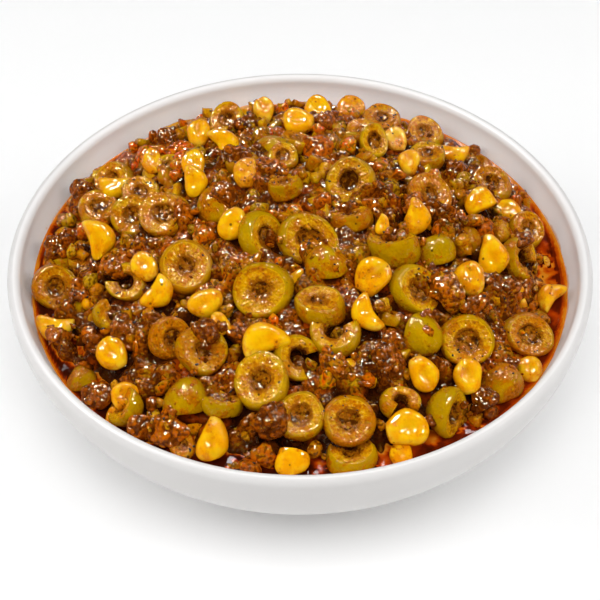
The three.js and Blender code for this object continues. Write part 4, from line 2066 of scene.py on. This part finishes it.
@dataclass
class SauceBed:
    """The bed of sauce and fine mince that the pieces lie in."""

    cell: float = 0.43
    reach: float = 71.8
    relief: float = 0.75
    climb: float = 0.9
    climb_reach: float = 0.9
    edge_drop: float = 3.0
    evened: float = 2.2
    least_drop: float = 2.2
    more_drop: float = 2.6
    near_edge_drop: float = 3.4
    about: float = 2.6
    fine: float = 0.4

    def surface(self, heap: Heap, m: HeightMap) -> tuple[Array, Array]:
        """Works out the bed's surface.

        Args:
            heap: The laid heap.
            m: The map that the surface is on.

        Returns:
            Its height and its look at each square: tint, how much grain it is, 0 and hollow.
        """
        rng = np.random.default_rng(heap.seed + 5)
        at = heap.pile.map.index(np.stack([m.x, m.y], -1))
        held = np.minimum(heap.support[at], HEAP.top(m.x, m.y) + 0.3)
        weight = (m.radius < self.reach).astype(float)
        level = m.blurred(held * weight, self.evened) / np.maximum(m.blurred(weight, self.evened), 1e-3)
        drop = self.least_drop + self.more_drop * lattice(rng, m.x, m.y, 8.0)
        near_side = 1 - smooth(m.y, 5.0, 40.0)
        level = level - drop - self.near_edge_drop * smooth(m.radius, 62.0, 71.0) * near_side
        base = level.copy()
        tint = np.full_like(level, 0.3)
        grain = np.zeros_like(level)
        rough = 0.6 * lattice(rng, m.x, m.y, 1.5) + 0.4 * lattice(rng, m.x, m.y, 0.8)
        for lump in sorted(heap.lumps, key=lambda g: g.z):
            box, top, inside = lump.cover(m, rough)
            higher = inside & (top > level[box])
            for values, value in ((level, top), (tint, lump.tint), (grain, 1.0)):
                values[box] = np.where(higher, value, values[box])
        bumps = 1.2 * lattice(rng, m.x, m.y, 1.5) + 0.3 * lattice(rng, m.x, m.y, 0.8) - 0.75
        level = m.blurred(level, self.fine) + self.relief * bumps * grain
        stands = (heap.support[at] > level + 0.3) | (grain > 0.5)
        creep = m.blurred(m.near(stands.astype(float), self.climb_reach), self.fine)
        level = np.maximum(level, base + self.climb * creep)
        laid = m.blurred(heap.pile.map.top[at], self.about)
        around = np.maximum(m.blurred(level, self.about), laid)
        # painted shade: how far the bed lies below the pieces and lumps about it, painted dark in the oil's
        # colour by the finish
        hollow = smooth(around - level, 0.6, 4.0)
        look = [m.blurred(tint, self.fine), m.blurred(grain, self.fine), np.zeros_like(level), hollow]
        return np.minimum(level, HEAP.highest), np.stack(look, -1)

    def build(self, heap: Heap) -> tuple[HeightMap, Array]:
        """Builds the bed.

        Args:
            heap: The laid heap.

        Returns:
            The map that the bed is on, and its heights.
        """
        m = HeightMap(self.cell)
        level, look = self.surface(heap, m)
        bm = bmesh.new()
        bmesh.ops.create_grid(bm, x_segments=m.count - 1, y_segments=m.count - 1, size=m.reach)
        outside = [v for v in bm.verts if math.hypot(v.co.x, v.co.y) > self.reach + self.cell]
        bmesh.ops.delete(bm, geom=outside, context="VERTS")
        shape = shape_from(bm)
        at = m.index(shape.corners)
        shape.look = look[at]
        rim = smooth(shape.radii(), self.reach - 1.2, self.reach + 0.3)
        shape.corners[:, 2] = level[at] - self.edge_drop * rim
        piece = finished("sauce_bed", [shape], SauceFinish().make("sauce"))
        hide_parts("salad")
        return m, level


@dataclass
class OilPool:
    """The pool of chilli oil between the heap and the wall, which creeps up at what it touches."""

    inner: float = 58.0
    around: int = 720
    rings: int = 36
    creep: float = 0.7
    creep_at_pieces: float = 0.42
    creep_reach: float = 0.7
    crowding: float = 1.5
    piece_reach: float = 72.6
    deepest: float = 30.0

    def build(self, heap: Heap, m: HeightMap, bed: Array) -> None:
        """Builds the pool's surface.

        Args:
            heap: The laid heap.
            m: The map that the sauce bed is on.
            bed: The bed's heights.
        """
        level = HEAP.oil_level
        laid = heap.support[heap.pile.map.index(np.stack([m.x, m.y], -1))]
        solid = ((laid > level + 0.5) & (m.radius < self.piece_reach)).astype(float)
        near = m.blurred(m.near(solid, self.creep_reach), 0.5)
        floor = np.clip(np.maximum(np.where(laid < level, laid, 0), bed), self.deepest, level)
        outer = float(BOWL.wall_radius(np.array(level + self.creep))) + 0.5
        share = np.linspace(0, 1, self.rings + 1)
        radii = outer - (outer - self.inner) * (1 - share) ** self.crowding
        bm = spun([(r, level) for r in radii], self.around)
        if sum(f.normal.z for f in bm.faces) < 0:
            bmesh.ops.reverse_faces(bm, faces=bm.faces[:])
        shape = shape_from(bm)
        radius, at = shape.radii(), m.index(shape.corners)
        wall = float(BOWL.wall_radius(np.array(level)))
        climb = self.creep * np.exp(-np.clip(wall - radius, 0, None) / self.creep_reach)
        shape.corners[:, 2] = level + np.maximum(climb, self.creep_at_pieces * near[at])
        under = np.maximum(floor[at], BOWL.wall_height(radius))
        scale = 6.0 + 5.0 * smooth(shape.corners[:, 0], -10.0, 35.0)
        shape.look[:, 0] = np.clip((level - under) / scale, 0, 1)
        piece = finished("oil_pool", [shape], OilFinish().make("oil"))
        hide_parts("oil")


@dataclass
class GlazedBowl:
    """The bowl, turned from its section."""

    shape: BowlShape = BOWL
    sides: int = 192
    wall_steps: int = 44
    lip_steps: int = 14

    def section(self) -> list[tuple[float, float]]:
        """The section (radius, height), from under the middle round to the inside's middle."""
        b = self.shape
        foot_in, foot_out, foot_top = b.foot_radius - b.foot_width, b.foot_radius, b.body_bottom()
        points = [
            (0.0, b.foot_recess),
            (foot_in - b.foot_recess, b.foot_recess),
            (foot_in - 0.9, b.foot_recess * 0.75),
            (foot_in - 0.15, 0.35),
            (foot_in + 0.3, 0.0),
            (foot_out - 0.6, 0.0),
            (foot_out - 0.12, 0.25),
            (foot_out, 0.8),
            (foot_out, foot_top - 0.9),
            (foot_out + 0.35, foot_top - 0.15),
        ]
        points += [tuple(p) for p in b.outside(self.wall_steps)[1:-1][::-1]]
        lip = b.lip_thickness / 2
        for i in range(self.lip_steps + 1):
            angle = math.pi * i / self.lip_steps
            points.append((b.rim_radius - lip + lip * math.cos(angle), b.lip_height + lip * math.sin(angle)))
        points += [tuple(p) for p in b.inside(self.wall_steps)[1:]]
        last = points[-1][0]
        points += [(last * 0.85, b.floor_top + 0.35), (last * 0.6, b.floor_top), (0.0, b.floor_top)]
        return points

    def build(self) -> None:
        """Builds the bowl."""
        shape = shape_from(spun(self.section(), self.sides))
        radius, height = shape.radii(), shape.corners[:, 2]
        inside = radius < self.shape.outer_radius(height) - self.shape.lip_thickness / 2
        # marks the inside, which the glaze paints lighter as painted light and stains with oil
        shape.look[:, 0] = inside & (height > self.shape.floor_top - 1)
        piece = finished("glazed_bowl", [shape], GlazeFinish().make("glaze"))
        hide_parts("bowl")


# ---- Studio ----


@dataclass(frozen=True)
class Softbox:
    """A square soft light that looks at the bowl, from a distance and of a width in metres."""

    name: str
    azimuth: float
    elevation: float
    distance: float
    width: float
    power: float
    mirrored: bool

    def build(self) -> None:
        """Sets up the light, which shows either as highlights or as light."""
        light = bpy.data.lights.new(self.name, "AREA")
        light.shape = "SQUARE"
        light.size = self.width
        light.energy = self.power
        lamp = bpy.data.objects.new(self.name, light)
        lamp.visible_glossy = self.mirrored
        lamp.visible_diffuse = not self.mirrored
        a, e = math.radians(self.azimuth), math.radians(self.elevation)
        back = Vector((math.sin(a) * math.cos(e), -math.cos(a) * math.cos(e), math.sin(e)))
        lamp.location = back * self.distance + Vector((0, 0, 0.04))
        lamp.rotation_euler = back.to_track_quat("Z", "Y").to_euler()
        bpy.context.scene.collection.objects.link(lamp)


@dataclass(frozen=True)
class Studio:
    """A plain pale floor, soft light and the camera."""

    softboxes: tuple[Softbox, ...] = (
        Softbox("key", 0, 68, 1.10, 0.55, 5.7, False),
        Softbox("left", -84, 32, 1.10, 0.80, 5.2, False),
        Softbox("right", 84, 32, 1.10, 0.80, 4.6, False),
        Softbox("window", -125, 60, 1.00, 0.22, 27.0, True),
        Softbox("side", 95, 52, 1.00, 0.18, 8.0, True),
        Softbox("back", 165, 62, 1.00, 0.18, 9.5, True),
    )
    sky_colour: Colour = (1.0, 1.0, 1.0)
    sky_low: float = 0.24
    sky_high: float = 0.33
    distance: float = 0.400
    elevation: float = 44.24
    pitch: float = 46.07
    lens: float = 86.95
    sensor: float = 36.0
    floor_reach: float = 3.0

    def floor(self) -> None:
        """Lays the floor."""
        bm = bmesh.new()
        bmesh.ops.create_grid(bm, x_segments=1, y_segments=1, size=self.floor_reach)
        mesh = bpy.data.meshes.new("studio_floor")
        bm.to_mesh(mesh)
        bm.free()
        mesh.materials.append(FloorFinish().make("floor"))
        floor = bpy.data.objects.new("studio_floor", mesh)
        bpy.context.scene.collection.objects.link(floor)

    def sky(self) -> None:
        """Lights the room from all round, more from above."""
        world = bpy.data.worlds.new("room")
        world.use_nodes = True
        tree = world.node_tree
        tree.nodes.clear()
        place = add_node(tree, "TexCoord", {}).outputs["Generated"]
        up = add_node(tree, "SeparateXYZ", {0: place}).outputs["Z"]
        shade = add_node(tree, "MapRange", {"Value": up, "To Min": self.sky_low, "To Max": self.sky_high})
        glow = {"Color": self.sky_colour, "Strength": shade.outputs["Result"]}
        light = add_node(tree, "Background", glow).outputs[0]
        add_node(tree, "OutputWorld", {0: light})
        world.cycles_visibility.glossy = False
        bpy.context.scene.world = world

    def camera(self) -> None:
        """Sets the camera over the bowl's near side."""
        data = bpy.data.cameras.new("camera")
        data.sensor_width = self.sensor
        data.lens = self.lens
        camera = bpy.data.objects.new("camera", data)
        a = math.radians(self.elevation)
        lip = BOWL.lip_height * MM
        camera.location = (0.0, -self.distance * math.cos(a), lip + self.distance * math.sin(a))
        camera.rotation_euler = (math.radians(90 - self.pitch), 0.0, 0.0)
        bpy.context.scene.collection.objects.link(camera)
        bpy.context.scene.camera = camera

    def build(self) -> None:
        """Builds the studio."""
        self.floor()
        self.sky()
        for softbox in self.softboxes:
            softbox.build()
        self.camera()
        bpy.context.scene.view_settings.view_transform = "Standard"


def main() -> None:
    """Builds every piece in order."""
    logging.basicConfig(level=logging.INFO, format="%(message)s")
    GlazedBowl().build()
    heap = Heap()
    heap.lay()
    m, bed = SauceBed().build(heap)
    OilPool().build(heap, m, bed)
    materials = {
        "olive": OliveFinish().make("olive"),
        "corn": CornFinish().make("corn"),
        "chopped": CHOPPED.make("chopped"),
        "mince": MINCED.make("minced"),
        "pepper": SpeckFinish().make("pepper"),
    }
    for name, shapes in heap.loads.items():
        finished(name, shapes, materials[name.split("_")[0]])
    Studio().build()


if __name__ == "__main__":
    main()
